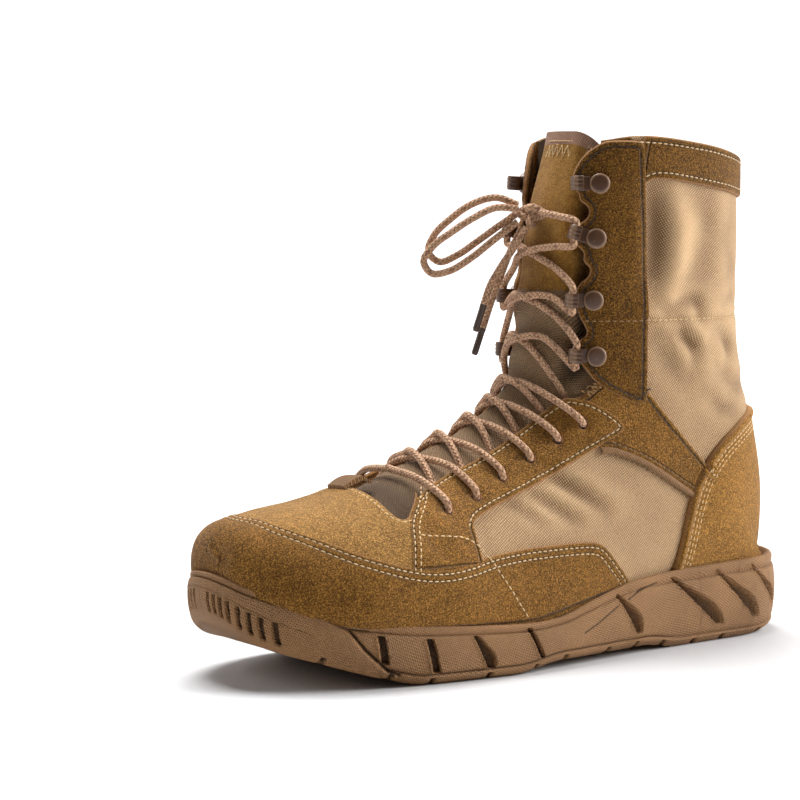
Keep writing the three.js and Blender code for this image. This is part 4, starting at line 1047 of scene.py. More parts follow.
# Upper: nylon outside, lining inside, open at the throat, the collar and underneath
foot_places = np.linspace(0.0, 1.0, 260)
top_downs = np.linspace(-1, -throat_curve(0.985), 60)
top_places = collar_line(top_downs)
foot = foot_places[foot_places < top_places[0] - 0.002]
throat_places = np.linspace(0.335, 0.985, 260)
throat_side = to_flat(throat_places[::-1], -throat_curve(throat_places[::-1]))
lateral_edge = np.vstack([
    to_flat(foot, np.full(len(foot), -1.0)),
    to_flat(top_places, top_downs),
    throat_side[3:],
])
upper_outline = np.vstack([lateral_edge, to_flat([0.335], [0.0])])
upper = sheet_mesh(
    "upper_shell", upper_outline, 0.0, -WALL, (0.6, 1.4), 2.1, holes=eyelet_holes(-1) + eyelet_holes(1),
    edge_drop=0.25, halves=True,
)
merged(upper, 0.05)
upper.data.materials.append(cloth)
upper.data.materials.append(inner)
depth = np.zeros(len(upper.data.vertices), np.float32)
upper.data.attributes["edge"].data.foreach_get("value", depth)
# the shell's front faces take the darker suede, which is painted shade
upper.data.materials.append(suede_painted_shade)
for face in upper.data.polygons:
    front = face.center.z / MM > 116 and face.center.x / MM < 48
    face.material_index = 1 if max(depth[v] for v in face.vertices) < -0.5 else 2 if front else 0
settle(upper, "nylon", "upper")

# Suede panels
rand_edge = drawn(RAND[2:])[1:]
rand_place, _ = from_flat(rand_edge[-1:])
rand_ridge = to_flat([0.0985], [0.0])
rand_half = np.vstack([
    rand_ridge, rand_edge, edge_at_foot(float(rand_place[0]), 0.0, -1, 400),
])
rand_outline = mirrored(rand_half)
rand_rings = EDGE_RINGS + (4.5, 5.2, 5.9)
merged(panel("toe_rand_suede", "toe_rand", suede_toe, rand_half, 2.1, rand_rings, halves=True), 0.05)

stay_front = drawn(STAY_FRONT)
stay_rear = drawn(STAY_REAR)
throat_share = np.linspace(0.402, 0.712, 70)
stay_throat = to_flat(throat_share, -(throat_curve(throat_share) - 0.006))
stay_outline = np.vstack([stay_front[:-1], stay_throat, stay_rear[::-1]])

vamp_line = rand_edge[rand_edge[:, 0] < stay_front[0][0] + 6]
vamp_under = moved_in(vamp_line, 4.0, side=-1)
if vamp_under[0][0] > rand_edge[0][0]:
    vamp_under = moved_in(vamp_line, 4.0, side=1)
vamp_rear = stay_front[:-1] + [5.0, 0]
throat_foot = to_flat([0.352, 0.335, 0.333, 0.333], [-0.42, -0.38, -0.2, 0.0])
vamp_outline = np.vstack([vamp_under, vamp_rear[1:-1], to_flat([0.385], [-0.36]), throat_foot])
vamp_outline = vamp_outline[(vamp_outline[:, 1] < 0)]
vamp_half = np.vstack([
    rand_ridge - [4.0, 0], softened(vamp_outline, 1, closed=False), to_flat([0.333], [0.0]),
])
vamp_outline = mirrored(vamp_half)
panel("vamp_suede", "vamp", suede_vamp, vamp_half, 1.7, halves=True)

FACING_BACK = [(39.3, 229.8), (50.5, 229.8), (53.2, 228.4), (54.2, 226), (56.2, 120)]
facing_outline_xz = FACING_FOOT + FACING_FRONT + FACING_BACK
counter_half = drawn(COUNTER, back=True)
counter_place, _ = from_flat(counter_half[:1], back=True)
counter_foot = edge_at_foot(0.80, float(counter_place[0]), -1, 40, back=True)
counter_foot[1:, 1] = 0.12
counter_top = to_flat([0.893], [-1.0], back=True)
counter_lateral = np.vstack([counter_foot, counter_half[:-3], counter_top * [1, 0]])


def rolled_edge(distance, flat):
    return 1.1 * hump(distance, 1.9, 1.5) - 0.35 * hump(distance, 4.6, 0.7)


panel(
    "heel_counter_suede", "heel_counter", suede_heel, counter_lateral, 2.1, (0.4, 1.0, 1.9, 2.8, 3.8, 4.6, 5.4, 7.0),
    back=True, shape_edge=rolled_edge, halves=True,
)

band_low = drawn(BAND_LOW, back=True)
band_downs = np.linspace(-1, -0.32, 54)
band_top = to_flat(collar_line(band_downs), band_downs, back=True)
band_half = np.vstack([
    [[band_low[-4][0], 0.0]], band_low[:-4][::-1], band_top[::-1][1:-1],
    [[band_top[0][0], 0.0]],
])
band_outline = mirrored(band_half)
panel(
    "collar_band_suede", "collar_band", suede_painted_shade, band_half, 1.8, (0.35, 1.0, 1.7, 2.8, 3.6), 2.0, back=True,
    halves=True,
)

ankle_front = np.array([0.785, 0.765, 0.738, 0.715])
for side, sign in (("lateral", 1), ("medial", -1)):
    turn = (lambda flat: flat) if sign == 1 else other_side
    panel(
        f"eyestay_{side}_suede", f"eyestay_{side}", suede_panel, turn(stay_outline), 1.9, holes=eyelet_holes(-sign),
    )
    ankle_outline = np.vstack([
        drawn(ANKLE_LOW), drawn(ANKLE_HIGH),
        to_flat(ankle_front, -(throat_curve(ankle_front) + 0.004)),
        flat_at([(22, 108), (28, 98)]),
    ])
    panel(f"ankle_panel_{side}_suede", f"ankle_panel_{side}", suede_panel, turn(ankle_outline), 1.5, spacing=2.0)
    facing_outline = drawn(facing_outline_xz, closed=True, turns=1, spacing=1.3)
    panel(
        f"hook_facing_{side}_suede", f"hook_facing_{side}", suede_painted_shade, turn(facing_outline), 2.1,
        (0.35, 1.0, 1.7, 2.4, 2.8, 3.4), 2.0,
    )


def tube(name, path, radius, sides=14, closed_ends=True, material=None, scale=None, round_length=1.0):
    """A round piece along a path, with u in metres along it and v round it"""
    path = np.asarray(path, float)
    way = np.gradient(path, axis=0)
    way /= np.linalg.norm(way, axis=1, keepdims=True)
    side = np.cross(way[0], [0.3, 0.5, 0.8])
    side /= np.linalg.norm(side)
    sides_at = []
    for t in way:
        side = side - t * (side @ t)
        side /= np.linalg.norm(side)
        sides_at.append(side)
    sides_at = np.array(sides_at)
    ups = np.cross(way, sides_at)
    run = np.r_[0, np.cumsum(np.linalg.norm(np.diff(path, axis=0), axis=1))]
    scale = np.ones(len(path)) if scale is None else scale
    vertices, uv = [], []
    for k in range(len(path)):
        angle = np.linspace(0, 2 * np.pi, sides + 1)
        ring = path[k] + radius * scale[k] * (
            np.cos(angle)[:, None] * sides_at[k] + np.sin(angle)[:, None] * ups[k]
        )
        vertices.append(ring)
        uv.append(np.stack([np.full(sides + 1, run[k] * MM), np.linspace(0, round_length, sides + 1)], -1))
    vertices, uv = np.vstack(vertices), np.vstack(uv)
    faces = []
    n = sides + 1
    for k in range(len(path) - 1):
        for j in range(sides):
            a = k * n + j
            faces.append([a, a + 1, a + 1 + n, a + n])
    if closed_ends:
        faces.append([j for j in range(sides)][::-1])
        last = (len(path) - 1) * n
        faces.append([last + j for j in range(sides)])
    obj = make_object(name, vertices, faces, uv, sharp=60)
    if material:
        dress(obj, material)
    return obj


def smooth_path(points, spacing=0.9):
    """A round-cornered path through points"""
    points = np.asarray(points, float)
    gaps = np.maximum(np.linalg.norm(np.diff(points, axis=0), axis=1) ** 0.5, 1e-3)
    at = np.r_[0, np.cumsum(gaps)]
    ghost = np.vstack([2 * points[0] - points[1], points, 2 * points[-1] - points[-2]])
    knots = np.r_[-gaps[0], at, at[-1] + gaps[-1]]
    fine = []
    for i in range(1, len(ghost) - 2):
        p0, p1, p2, p3 = ghost[i - 1 : i + 3]
        t0, t1, t2, t3 = knots[i - 1 : i + 3]
        for t in np.linspace(t1, t2, 24, endpoint=False):
            a1 = (t1 - t) / (t1 - t0) * p0 + (t - t0) / (t1 - t0) * p1
            a2 = (t2 - t) / (t2 - t1) * p1 + (t - t1) / (t2 - t1) * p2
            a3 = (t3 - t) / (t3 - t2) * p2 + (t - t2) / (t3 - t2) * p3
            b1 = (t2 - t) / (t2 - t0) * a1 + (t - t0) / (t2 - t0) * a2
            b2 = (t3 - t) / (t3 - t1) * a2 + (t - t1) / (t3 - t1) * a3
            fine.append((t2 - t) / (t2 - t1) * b1 + (t - t1) / (t2 - t1) * b2)
    fine.append(points[-1])
    return even(np.array(fine), spacing)


# Tongue: suede above, nylon below with folded sides
tongue_rows = np.array([
    [0.300, 0.40], [0.36, 0.47], [0.42, 0.42], [0.5, 0.37], [0.6, 0.33], [0.7, 0.33], [0.76, 0.34], [0.82, 0.29],
    [0.9, 0.27], [1.0, 0.25],
])
tongue_width = soft_curve(tongue_rows[:, 0], tongue_rows[:, 1])
TONGUE_TOP, TONGUE_SEAM = 235.5, 163.0
TONGUE_ROWS, TONGUE_COLUMNS, BINDING_ROW = 210, 60, 206


def lean_back(line, across):
    """The tongue's free top leans back and its corners drop"""
    high = ramp(line[:, 2], 192, 236)
    line[:, 0] += 5.5 * high
    line[:, 2] -= 46.0 * high * np.clip(across - 0.28, 0, 1) ** 2
    return line


def tongue_mesh():
    rows, columns = TONGUE_ROWS, TONGUE_COLUMNS
    place = np.linspace(0.302, 0.994, rows)
    across = np.linspace(-1, 1, columns + 1)
    vertices, edge, shade, uv = [], [], [], []
    for layer in (0, 1):
        for p in place:
            down = across * tongue_width(p)
            flat = to_flat(np.full(columns + 1, p), down)
            fold = np.abs(across) * tongue_width(p)
            dip = -6.0 * hump(fold, 0.175, 0.032) * ramp(p, 0.70, 0.78) * (1 - ramp(p, 0.955, 0.985))
            dip += 1.0 * hump(fold, 0.095, 0.03) * ramp(p, 0.70, 0.78)
            bend = -1.1 * np.sin((p - 0.66) * 62) * ramp(p, 0.66, 0.74) * (1 - ramp(p, 0.84, 0.9))
            press = -0.4 * np.sin((p - 0.4) * 90) * (1 - ramp(p, 0.66, 0.72)) - 2.2 * (1 - ramp(p, 0.36, 0.43))
            lift = -WALL - GAP + dip + bend + press - layer * 2.8
            vertices.append(lean_back(skin(flat, lift, folds=False), np.abs(across)))
            # painted shade in the tongue's side folds and along its low front by the throat's foot
            shade.append(0.75 * np.minimum(dip, 0) - 3.0 * (1 - ramp(p, 0.37, 0.44)))
            middle = np.minimum(np.abs(1 - np.abs(across)) * tongue_width(p) * 110, 30)
            edge.append(middle if layer == 0 else np.full(columns + 1, -1.0))
            uv.append(np.stack([down * 120, np.full(columns + 1, p * 330)], -1))
    vertices = np.vstack(vertices)
    vertices[:, 2] = np.minimum(vertices[:, 2], TONGUE_TOP)
    return make_object("tongue_padded", vertices, slab_faces(rows, columns), np.vstack(uv) * MM, {
        "edge": np.concatenate(edge), "row": np.full(len(vertices), 9.0), "painted_shading": np.concatenate(shade),
    })


tongue = tongue_mesh()
tongue.data.materials.append(suede_tongue)
tongue.data.materials.append(cloth_shade)
tongue.data.materials.append(inner)
tongue.data.materials.append(binding)
for face in tongue.data.polygons:
    height = face.center.z / MM
    if face.normal.x > 0.2 and height > 100:
        face.material_index = 2
    else:
        across = TONGUE_COLUMNS + 1
        top_row = face.vertices[0] % (TONGUE_ROWS * across) // across > BINDING_ROW
        face.material_index = 3 if top_row else 0 if height > TONGUE_SEAM else 1
settle(tongue, "suede", "tongue")

# Insole
def footbed():
    rings, vertices, faces = [], [], []
    stations = 120
    for inset, lift in ((9.5, 0.4), (9.0, 3.4), (10.2, 4.3)):
        turn = np.linspace(0, np.pi, stations + 1)
        x = -np.cos(turn) * (HALF - inset)
        width = sole_half(x, inset, inset, inset)
        sides = [np.stack([x, sole_middle(x) + side * width, seat_height(x) + lift], -1) for side in (-1, 1)]
        rings.append(ring_round(*sides))
    n = len(rings[0])
    vertices = np.vstack(rings)
    for k in range(2):
        for j in range(n):
            a, b = k * n + j, k * n + (j + 1) % n
            faces.append([a, b, b + n, a + n])
    for base, flip in ((0, True), (2 * n, False)):
        for j in range(1, stations):
            right, left = base + j, base + (n - j) % n
            right2, left2 = base + j + 1, base + (n - j - 1) % n
            if j == stations - 1:
                quad = [right, right2, left]
            else:
                quad = [right, right2, left2, left]
            faces.append(quad[::-1] if flip else quad)
        tip = [base, base + 1, base + n - 1]
        faces.append(tip[::-1] if flip else tip)
    return make_object("insole_bed", vertices, faces, vertices[:, :2] * MM)


insole = footbed()
settle(dress(insole, inner), "lining", "insole")

# Sole: rings round its side, then in over the tread
# Top x, foot x, foot share, top share, width, how much it swells like a leaf
GROOVES = [
    (-97.4, -95.6, 0.29, 0.81, 3.4, 0), (-76.4, -72.8, 0.22, 0.81, 3.6, 0), (-53.6, -46.2, 0.22, 0.84, 6.0, 0.7),
    (-25.4, -17.8, 0.24, 0.93, 2.4, 0), (28.5, 42.2, 0.22, 0.92, 7.0, 1), (64.0, 94.5, 0.22, 0.94, 10.0, 1),
    (93.4, 118.5, 0.25, 0.94, 9.0, 1), (116.8, 136.0, 0.33, 0.94, 6.5, 1),
]
SLOTS = [-123.8, -96, -77, -48.9, -24.2, -6.6, 19.9, 38.1, 55.9, 75.5, 93.9, 118.4, 135]
TOE_SLOTS = [5.4, 9.0, 12.4, 15.9, 20.1, 23.9, 27.6, 31.5]
BUMPER = np.array([[-123.5, 36.5], [-116, 32.5], [-110.5, 28], [-102.7, 17.2], [-92.6, 7.4], [-88, 5.6]])
PARTING = [
    [(8.1, 14.2), (18, 18.2), (29.7, 23.8)], [(35.9, 25.8), (44, 29.0), (55.8, 31.2)],
]
side_profile = soft_curve(
    [0.0, 0.035, 0.08, 0.14, 0.30, 0.55, 0.76, 0.83, 0.855, 0.90, 0.96, 1.0],
    [4.6, 2.8, 1.7, 1.1, 0.35, 0.0, 0.45, 0.9, 2.0, 1.35, 1.25, 1.9],
)


RIM_ROWS = [(2.6, -0.35), (3.6, -0.1), (4.3, 0.8), (6.9, 3.0)]
RIB_OFFSET, RIB_HEIGHT, TREAD_INSET = 17, 1.6, 4.6
leaf_curve = soft_curve([0, 0.18, 0.38, 0.7, 1.0], [0.5, 0.86, 1.0, 0.58, 0.2])


def slot_mask(x, y):
    """1 in the tread's chevron slots"""
    mask = np.zeros_like(x)
    for centre in SLOTS:
        middle = centre + CHEVRON * (1 - np.abs(y) / 90)
        mask = np.maximum(mask, 1 - ramp(np.abs(x - middle), LUG_SLOT / 2 - 0.35, LUG_SLOT / 2 + 0.35))
    return mask


def sole_surface():
    stations = 640
    turn = np.linspace(0, np.pi, stations + 1)
    shares = np.r_[
        0, 0.02, 0.04, 0.065, 0.09, 0.115, 0.14, 0.165, 0.19, np.linspace(0.21, 0.80, 26),
        0.815, 0.83, 0.84, 0.85, 0.86, 0.875, 0.89, 0.91, 0.935, 0.96, 0.98, 1.0,
    ]
    levels = []
    # values gathers the rows of painted shade and painted highlight for the sole
    values = []
    for share in shares:
        base = float(side_profile(share))
        ring, painted_sole_shading_rows = [], []
        for side in (-1, 1):
            x0 = -np.cos(turn) * (HALF - base)
            width = sole_half(x0, base, base, base)
            low, high = bottom_curve(share_of(x0)), seat_height(x0) + rim_curve(share_of(x0))
            z = low + share * (high - low)
            y0 = sole_middle(x0) + side * width
            rise = high - low
            inset = np.full(len(x0), base)
            painted_sole_shading = np.zeros(len(x0))
            # tread line under the blocks, its gap darkened as painted shade
            tread_gap = hump(z - low, TREAD, 0.55) * ramp(x0, -98, -90)
            inset += 0.9 * tread_gap
            painted_sole_shading = np.maximum(painted_sole_shading, 0.8 * tread_gap)
            # thin tread edge stands a little proud
            proud = (1 - ramp(z - low, TREAD - 1.0, TREAD - 0.4)) * ramp(share, 0.03, 0.08)
            inset -= 0.5 * proud * ramp(x0, -98, -90)
            # toe bumper stands proud in front of its curved rear edge, with painted shade in the groove along that edge
            d, _ = segment_distance(np.stack([x0, z], -1), BUMPER)
            edge_x = np.interp(z, BUMPER[::-1, 1], BUMPER[::-1, 0])
            front = x0 < edge_x
            near = (z > 5) & (z < 38)
            inset -= 1.1 * (1 - ramp(x0 - edge_x, -1.6, -0.2)) * (z > 4)
            groove = hump(d, 0, 0.6) * near
            inset += 1.5 * groove
            painted_sole_shading = np.maximum(painted_sole_shading, groove)
            # bumper's own line under its smooth lip, darkened as painted shade
            lip_line = (1 - ramp(x0, -128, -112)) * hump(share, 0.60 - 0.1 * ramp(x0, -150, -120), 0.02)
            inset += 0.5 * lip_line
            painted_sole_shading = np.maximum(painted_sole_shading, 0.5 * lip_line)
            # slots round the toe, darkened inside as painted shade
            if share > 0.12:
                slot_ends = ramp(share, 0.13, 0.16) * (1 - ramp(share, 0.50, 0.53))
                for offset in TOE_SLOTS:
                    gap = np.abs(np.abs(y0 - sole_middle(x0)) - offset)
                    cut = (1 - ramp(gap, 0.55, 0.95)) * (x0 < -125) * slot_ends
                    inset += 2.2 * cut
                    painted_sole_shading = np.maximum(painted_sole_shading, cut)
            # slanted grooves between the blocks: painted shade inside, painted highlight on the rim
            for top, foot_x, foot_share, top_share, wide, leaf in GROOVES:
                t = min(max((share - foot_share) / (top_share - foot_share), -0.2), 1.1)
                s = x0 - (foot_x + (top - foot_x) * t)
                held = min(max(t, 0), 1)
                swell = float(leaf_curve(held)) if leaf else 1.0
                wide_here = wide * (1 + leaf * (swell - 1))
                across = np.clip(s / wide_here, 0, 1)
                into = ramp(s, -0.3, 0.3) * (1 - ramp(s, wide_here - 0.7, wide_here))
                slope = 1 - leaf * 0.75 * across
                ends = float(ramp(share, foot_share - 0.015, foot_share + 0.02))
                ends *= float(1 - ramp(share, top_share - 0.025, top_share))
                cut = into * slope * ends
                inset += (3.0 + 2.4 * leaf * swell) * cut
                painted_sole_shading = np.maximum(painted_sole_shading, into * ends * (0.92 - 0.42 * across * leaf))
                rim = hump(s, -0.75, 0.5) * ends
                inset -= 0.45 * rim
                painted_sole_shading -= 0.8 * rim
            # parting lines, darkened as painted shade
            for line in PARTING:
                d, along = segment_distance(np.stack([x0, z], -1), line)
                thin = hump(d, 0, 0.45)
                inset += 0.55 * thin
                painted_sole_shading = np.maximum(painted_sole_shading, thin)
            # a line under the lip, darkened as painted shade
            painted_sole_shading = np.maximum(painted_sole_shading, 0.6 * hump(share, 0.853, 0.012))
            inset = np.maximum(inset, -1.0)
            x = -np.cos(turn) * (HALF - inset)
            width = sole_half(x, inset, inset, inset)
            y = sole_middle(x) + side * width
            slot = slot_mask(x, y) * ramp(low + LUG_DEPTH - z, -0.2, 0.6)
            z = z + slot * np.maximum(low + LUG_DEPTH - z, 0)
            line = np.stack([x, y, z], -1)
            # the tread's chevron slots, darkened inside as painted shade
            painted_sole_shading = np.maximum(painted_sole_shading, slot)
            ring.append(line)
            painted_sole_shading_rows.append(painted_sole_shading)
        levels.append(ring_round(*ring))
        values.append(ring_round(*painted_sole_shading_rows))
    return levels, values, turn


def sole_objects():
    levels, values, turn = sole_surface()
    stations = len(turn) - 1
    n = len(levels[0])
    # over the rim and down inside
    rim = []
    for inset, drop in RIM_ROWS:
        ring = []
        for side in (-1, 1):
            x = -np.cos(turn) * (HALF - inset)
            high = seat_height(x) + rim_curve(share_of(x)) - drop
            ring.append(np.stack([x, sole_middle(x) + side * sole_half(x, inset, inset, inset), high], -1))
        rim.append(ring_round(*ring))
    # tread from the side's foot in to the middle line
    tread = []
    for share in np.linspace(0.0, 1.0, 26)[1:]:
        base = TREAD_INSET
        ring = []
        for side in (-1, 1):
            x = -np.cos(turn) * (HALF - base)
            width = sole_half(x, base, base, base) * (1 - share)
            y = sole_middle(x) + side * width
            z = bottom_curve(share_of(x)) + LUG_DEPTH * slot_mask(x, y)
            rib = hump(np.abs(y - sole_middle(x)), RIB_OFFSET, 1.0) * (np.abs(x) < 128)
            z = z + RIB_HEIGHT * rib * (1 - slot_mask(x, y))
            ring.append(np.stack([x, y, z], -1))
        tread.append(ring_round(*ring))
    rows = tread[::-1] + levels + rim
    painted_sole_shading_rows = [np.zeros(n)] * len(tread) + values + [np.zeros(n)] * len(rim)
    vertices = np.vstack(rows)
    painted_sole_shading = np.concatenate(painted_sole_shading_rows)
    run = np.r_[0, np.cumsum(np.linalg.norm(np.diff(levels[20][:, :2], axis=0), axis=1))]
    uv = np.zeros((len(vertices), 2))
    for k in range(len(rows)):
        uv[k * n : (k + 1) * n, 0] = run
        uv[k * n : (k + 1) * n, 1] = rows[k][:, 2] if k >= len(tread) else rows[k][:, 1]
    outsole_faces, midsole_faces = [], []
    first_side = len(tread)
    for k in range(len(rows) - 1):
        lower, upper_row = rows[k], rows[k + 1]
        for j in range(n):
            j2 = (j + 1) % n
            a, b = k * n + j, k * n + j2
            quad = [a, b, b + n, a + n]
            x = 0.5 * (lower[j][0] + upper_row[j2][0])
            z = 0.5 * (lower[j][2] + upper_row[j2][2])
            edge_x = float(np.interp(z, BUMPER[::-1, 1], BUMPER[::-1, 0]))
            tread_top = float(bottom_curve(share_of(x))) + TREAD
            if k < first_side or z < tread_top or x < edge_x:
                outsole_faces.append(quad)
            else:
                midsole_faces.append(quad)
    result = []
    for name, faces in (("outsole_rubber", outsole_faces), ("midsole_rubber", midsole_faces)):
        used = np.unique(np.array(faces))
        renumber = np.full(len(vertices), -1)
        renumber[used] = np.arange(len(used))
        faces = renumber[np.array(faces)].tolist()
        result.append(make_object(name, vertices[used], faces, uv[used] * MM, {"edge": painted_sole_shading[used]}, sharp=55))
    return result


outsole, midsole = sole_objects()
settle(dress(outsole, sole_rubber), "rubber", "outsole")
settle(dress(midsole, sole_rubber), "rubber", "midsole")


# Piping along the ankle panel's lower edge, and the throat's webbing tab
for side, sign in (("lateral", 1), ("medial", -1)):
    line = drawn([(31.4, 92.4)] + ANKLE_LOW[1:-1] + [(82.5, 69.5)], spacing=0.9)
    line = line if sign == 1 else other_side(line)
    lower = moved_in(line, 0.9, side=sign)
    test = skin(lower[:1], 0)[0][2] < skin(line[:1], 0)[0][2]
    lower = lower if test else moved_in(line, 0.9, side=-sign)
    roll = skin(lower, 0.8 + 0.12 * np.sin(np.arange(len(lower)) * 0.9))
    piping = tube(f"ankle_piping_{side}_cord", roll, 1.45, 14, material=webbing, round_length=0.009)
    settle(piping, "nylon", f"ankle_piping_{side}")


def throat_tab():
    rows, columns = 60, 22
    vertices, uv = [], []
    for layer in (0, 1):
        for i in range(rows + 1):
            t = i / rows
            place = 0.316 + 0.058 * t
            down = np.linspace(-0.03, 0.12, columns + 1)
            rib = 0.22 * np.abs(math.sin(i * math.pi / 5))
            lift = 2.0 + 1.3 + rib - layer * 1.6 + 1.2 * math.sin(math.pi * t) * (1 - 0.6 * layer)
            lift -= 2.6 * float(ramp(t, 0.72, 1.0))
            flat = to_flat(np.full(columns + 1, place), down)
            vertices.append(skin(flat, np.full(columns + 1, lift)))
            uv.append(np.stack([np.full(columns + 1, t * 16), down * 110], -1))
    vertices = np.vstack(vertices)
    zero = np.zeros(len(vertices))
    faces = slab_faces(rows + 1, columns)
    return make_object("throat_tab_webbing", vertices, faces, np.vstack(uv) * MM, {"edge": zero + 9, "painted_shading": zero})


settle(dress(throat_tab(), webbing), "nylon", "throat_tab")


# Lace hooks
def hook_frame(place, down):
    flat = to_flat([place], [down])
    base = skin(flat, 2.0)[0]
    out = sample(normals, np.array([place]), np.array([down]))[0]
    out /= np.linalg.norm(out)
    forward = np.cross([0, 0, 1], out)
    forward /= np.linalg.norm(forward)
    if forward[0] > 0:
        forward = -forward
    up = np.cross(forward, out)
    up = up if up[2] > 0 else -up
    return base, out, forward, up


HOOK_MOUTH, HOOK_PLATE, HOOK_WIDTH, HOOK_REACH = 4.2, 1.1, 6.4, 13.0
HOOK_TILT = [0.0, 0.26, 0.02, 0.05]
RIVET_PROFILE = [
    (2.9, 3.1), (3.35, 3.0), (3.6, 2.78), (4.0, 2.72), (4.35, 2.5), (4.55, 2.1), (4.6, 1.5), (4.5, 0.2), (4.2, 0.0),
]


def hook_shape():
    """A hook along +X, out along +Z, with a rivet head at the origin"""
    shape = bmesh.new()
    inner_r = HOOK_MOUTH / 2
    outer = inner_r + HOOK_PLATE
    bend = HOOK_REACH - outer
    line = [(-2.0, 0.55), (4.4, 0.55), (5.6, 0.55), (bend, 0.55)]
    middle_r = (inner_r + outer) / 2
    for i in range(1, 13):
        angle = -math.pi / 2 + math.pi * i / 12
        line.append((bend + middle_r * math.cos(angle), outer + middle_r * math.sin(angle)))
    line.append((bend - 1.6, outer + middle_r + 0.1))
    line.append((bend - 2.4, outer + middle_r + 0.35))
    path = even(np.array(line), 0.42)
    way = np.gradient(path, axis=0)
    way /= np.linalg.norm(way, axis=1, keepdims=True)
    rows = []
    across = np.linspace(-1, 1, 25)
    run = np.r_[0, np.cumsum(np.linalg.norm(np.diff(path, axis=0), axis=1))]
    for k, (p, w) in enumerate(zip(path, way)):
        normal = np.array([-w[1], w[0]])
        half = np.interp(run[k], [0, 5.2, 6.6, 30], [2.3, 2.3, HOOK_WIDTH / 2, HOOK_WIDTH / 2])
        ribbed = float(ramp(run[k], 5.6, 6.6))
        row = []
        for face in (1, -1):
            for a in across[:: face]:
                rib = 0.22 * ribbed * hump(abs(a) * half, 1.75, 0.42)
                rib += 0.22 * ribbed * hump(a * half, 0, 0.42)
                rim = 1 - 0.55 * max(0.0, (abs(a) - 0.86) / 0.14) ** 2
                offset = face * -(HOOK_PLATE / 2) * rim - (rib if face > 0 else 0)
                q = p + normal * offset
                row.append(shape.verts.new((q[0], a * half, q[1])))
        rows.append(row)
    n = len(rows[0])
    for k in range(len(rows) - 1):
        for j in range(n):
            shape.faces.new([rows[k][j], rows[k][(j + 1) % n], rows[k + 1][(j + 1) % n], rows[k + 1][j]])
    shape.faces.new(rows[0])
    shape.faces.new(rows[-1][::-1])
    turns = np.linspace(0, 2 * math.pi, 36, endpoint=False)
    rings = [[shape.verts.new((r * math.cos(t), r * math.sin(t), h)) for t in turns] for r, h in RIVET_PROFILE]
    for one, two in zip(rings, rings[1:]):
        for j in range(36):
            shape.faces.new([one[j], two[j], two[(j + 1) % 36], one[(j + 1) % 36]])
    shape.faces.new(rings[0])
    shape.faces.new(rings[-1][::-1])
    bmesh.ops.recalc_face_normals(shape, faces=shape.faces)
    return shape


hook_frames = {}
for side, sign in (("lateral", -1), ("medial", 1)):
    hook_frames[side] = []
    for i, (place, share) in enumerate(HOOKS):
        base, out, forward, up = hook_frame(place, sign * share)
        c, s = math.cos(HOOK_TILT[i]), math.sin(HOOK_TILT[i])
        forward, up = forward * c + up * s, up * c - forward * s
        hook_frames[side].append((base, out, forward, up))
        shape = hook_shape()
        third = np.cross(out, forward)
        matrix = Matrix([
            [forward[0], third[0], out[0], base[0]], [forward[1], third[1], out[1], base[1]],
            [forward[2], third[2], out[2], base[2]], [0, 0, 0, 1],
        ])
        shape.transform(matrix)
        shape.transform(Matrix.Scale(MM, 4))
        mesh = bpy.data.meshes.new(f"hook_{side}_{i + 1}_metal")
        shape.to_mesh(mesh)
        shape.free()
        local = np.array([((v.co[:] - base * MM) / MM) for v in mesh.vertices])
        ahead, raised = local @ forward, local @ out
        radius = np.linalg.norm(local - raised[:, None] * out, axis=1)
        # paint worn at the hook's curled end, and a painted highlight on the rivet's rim
        wear_and_highlight = ((radius > 3.9) & (radius < 4.58) & (ahead < 4.4) & (raised > 1.9)).astype(float)
        wear_and_highlight = np.maximum(wear_and_highlight, (ahead > 9.5) * np.clip((raised - 4.4) / 1.2, 0, 1) * 0.8)
        mesh.attributes.new("wear_and_highlight", "FLOAT", "POINT").data.foreach_set("value", wear_and_highlight.astype(np.float32))
        mesh.shade_smooth()
        mesh.set_sharp_from_angle(angle=math.radians(40))
        hook = bpy.data.objects.new(f"hook_{side}_{i + 1}_metal", mesh)
        bpy.context.collection.objects.link(hook)
        settle(dress(hook, hook_paint), "hook_paint", f"hook_{side}_{i + 1}")


# Lace through the eyelets and hooks, two strands that cross over the tongue
def on_boot(place, down, lift):
    return skin(to_flat([place], [down]), lift)[0]


def crossing(start, end, over, rise=0.0):
    """Points across the tongue between two places, over or under the other strand"""
    place, down = start
    place_end, down_end = end
    points = []
    for t in (0.14, 0.28, 0.42, 0.56, 0.70, 0.84):
        p, d = place + (place_end - place) * t, down + (down_end - down) * t
        edge = float(throat_curve(p))
        lift = -0.7 + rise
        if over:
            lift += 3.3 * hump(d, 0, 0.10)
        if t > 0.5:
            lift = max(lift, 3.6 - 22 * max(0.0, edge + 0.02 - abs(d)))
        points.append(on_boot(p, d, lift))
    return points


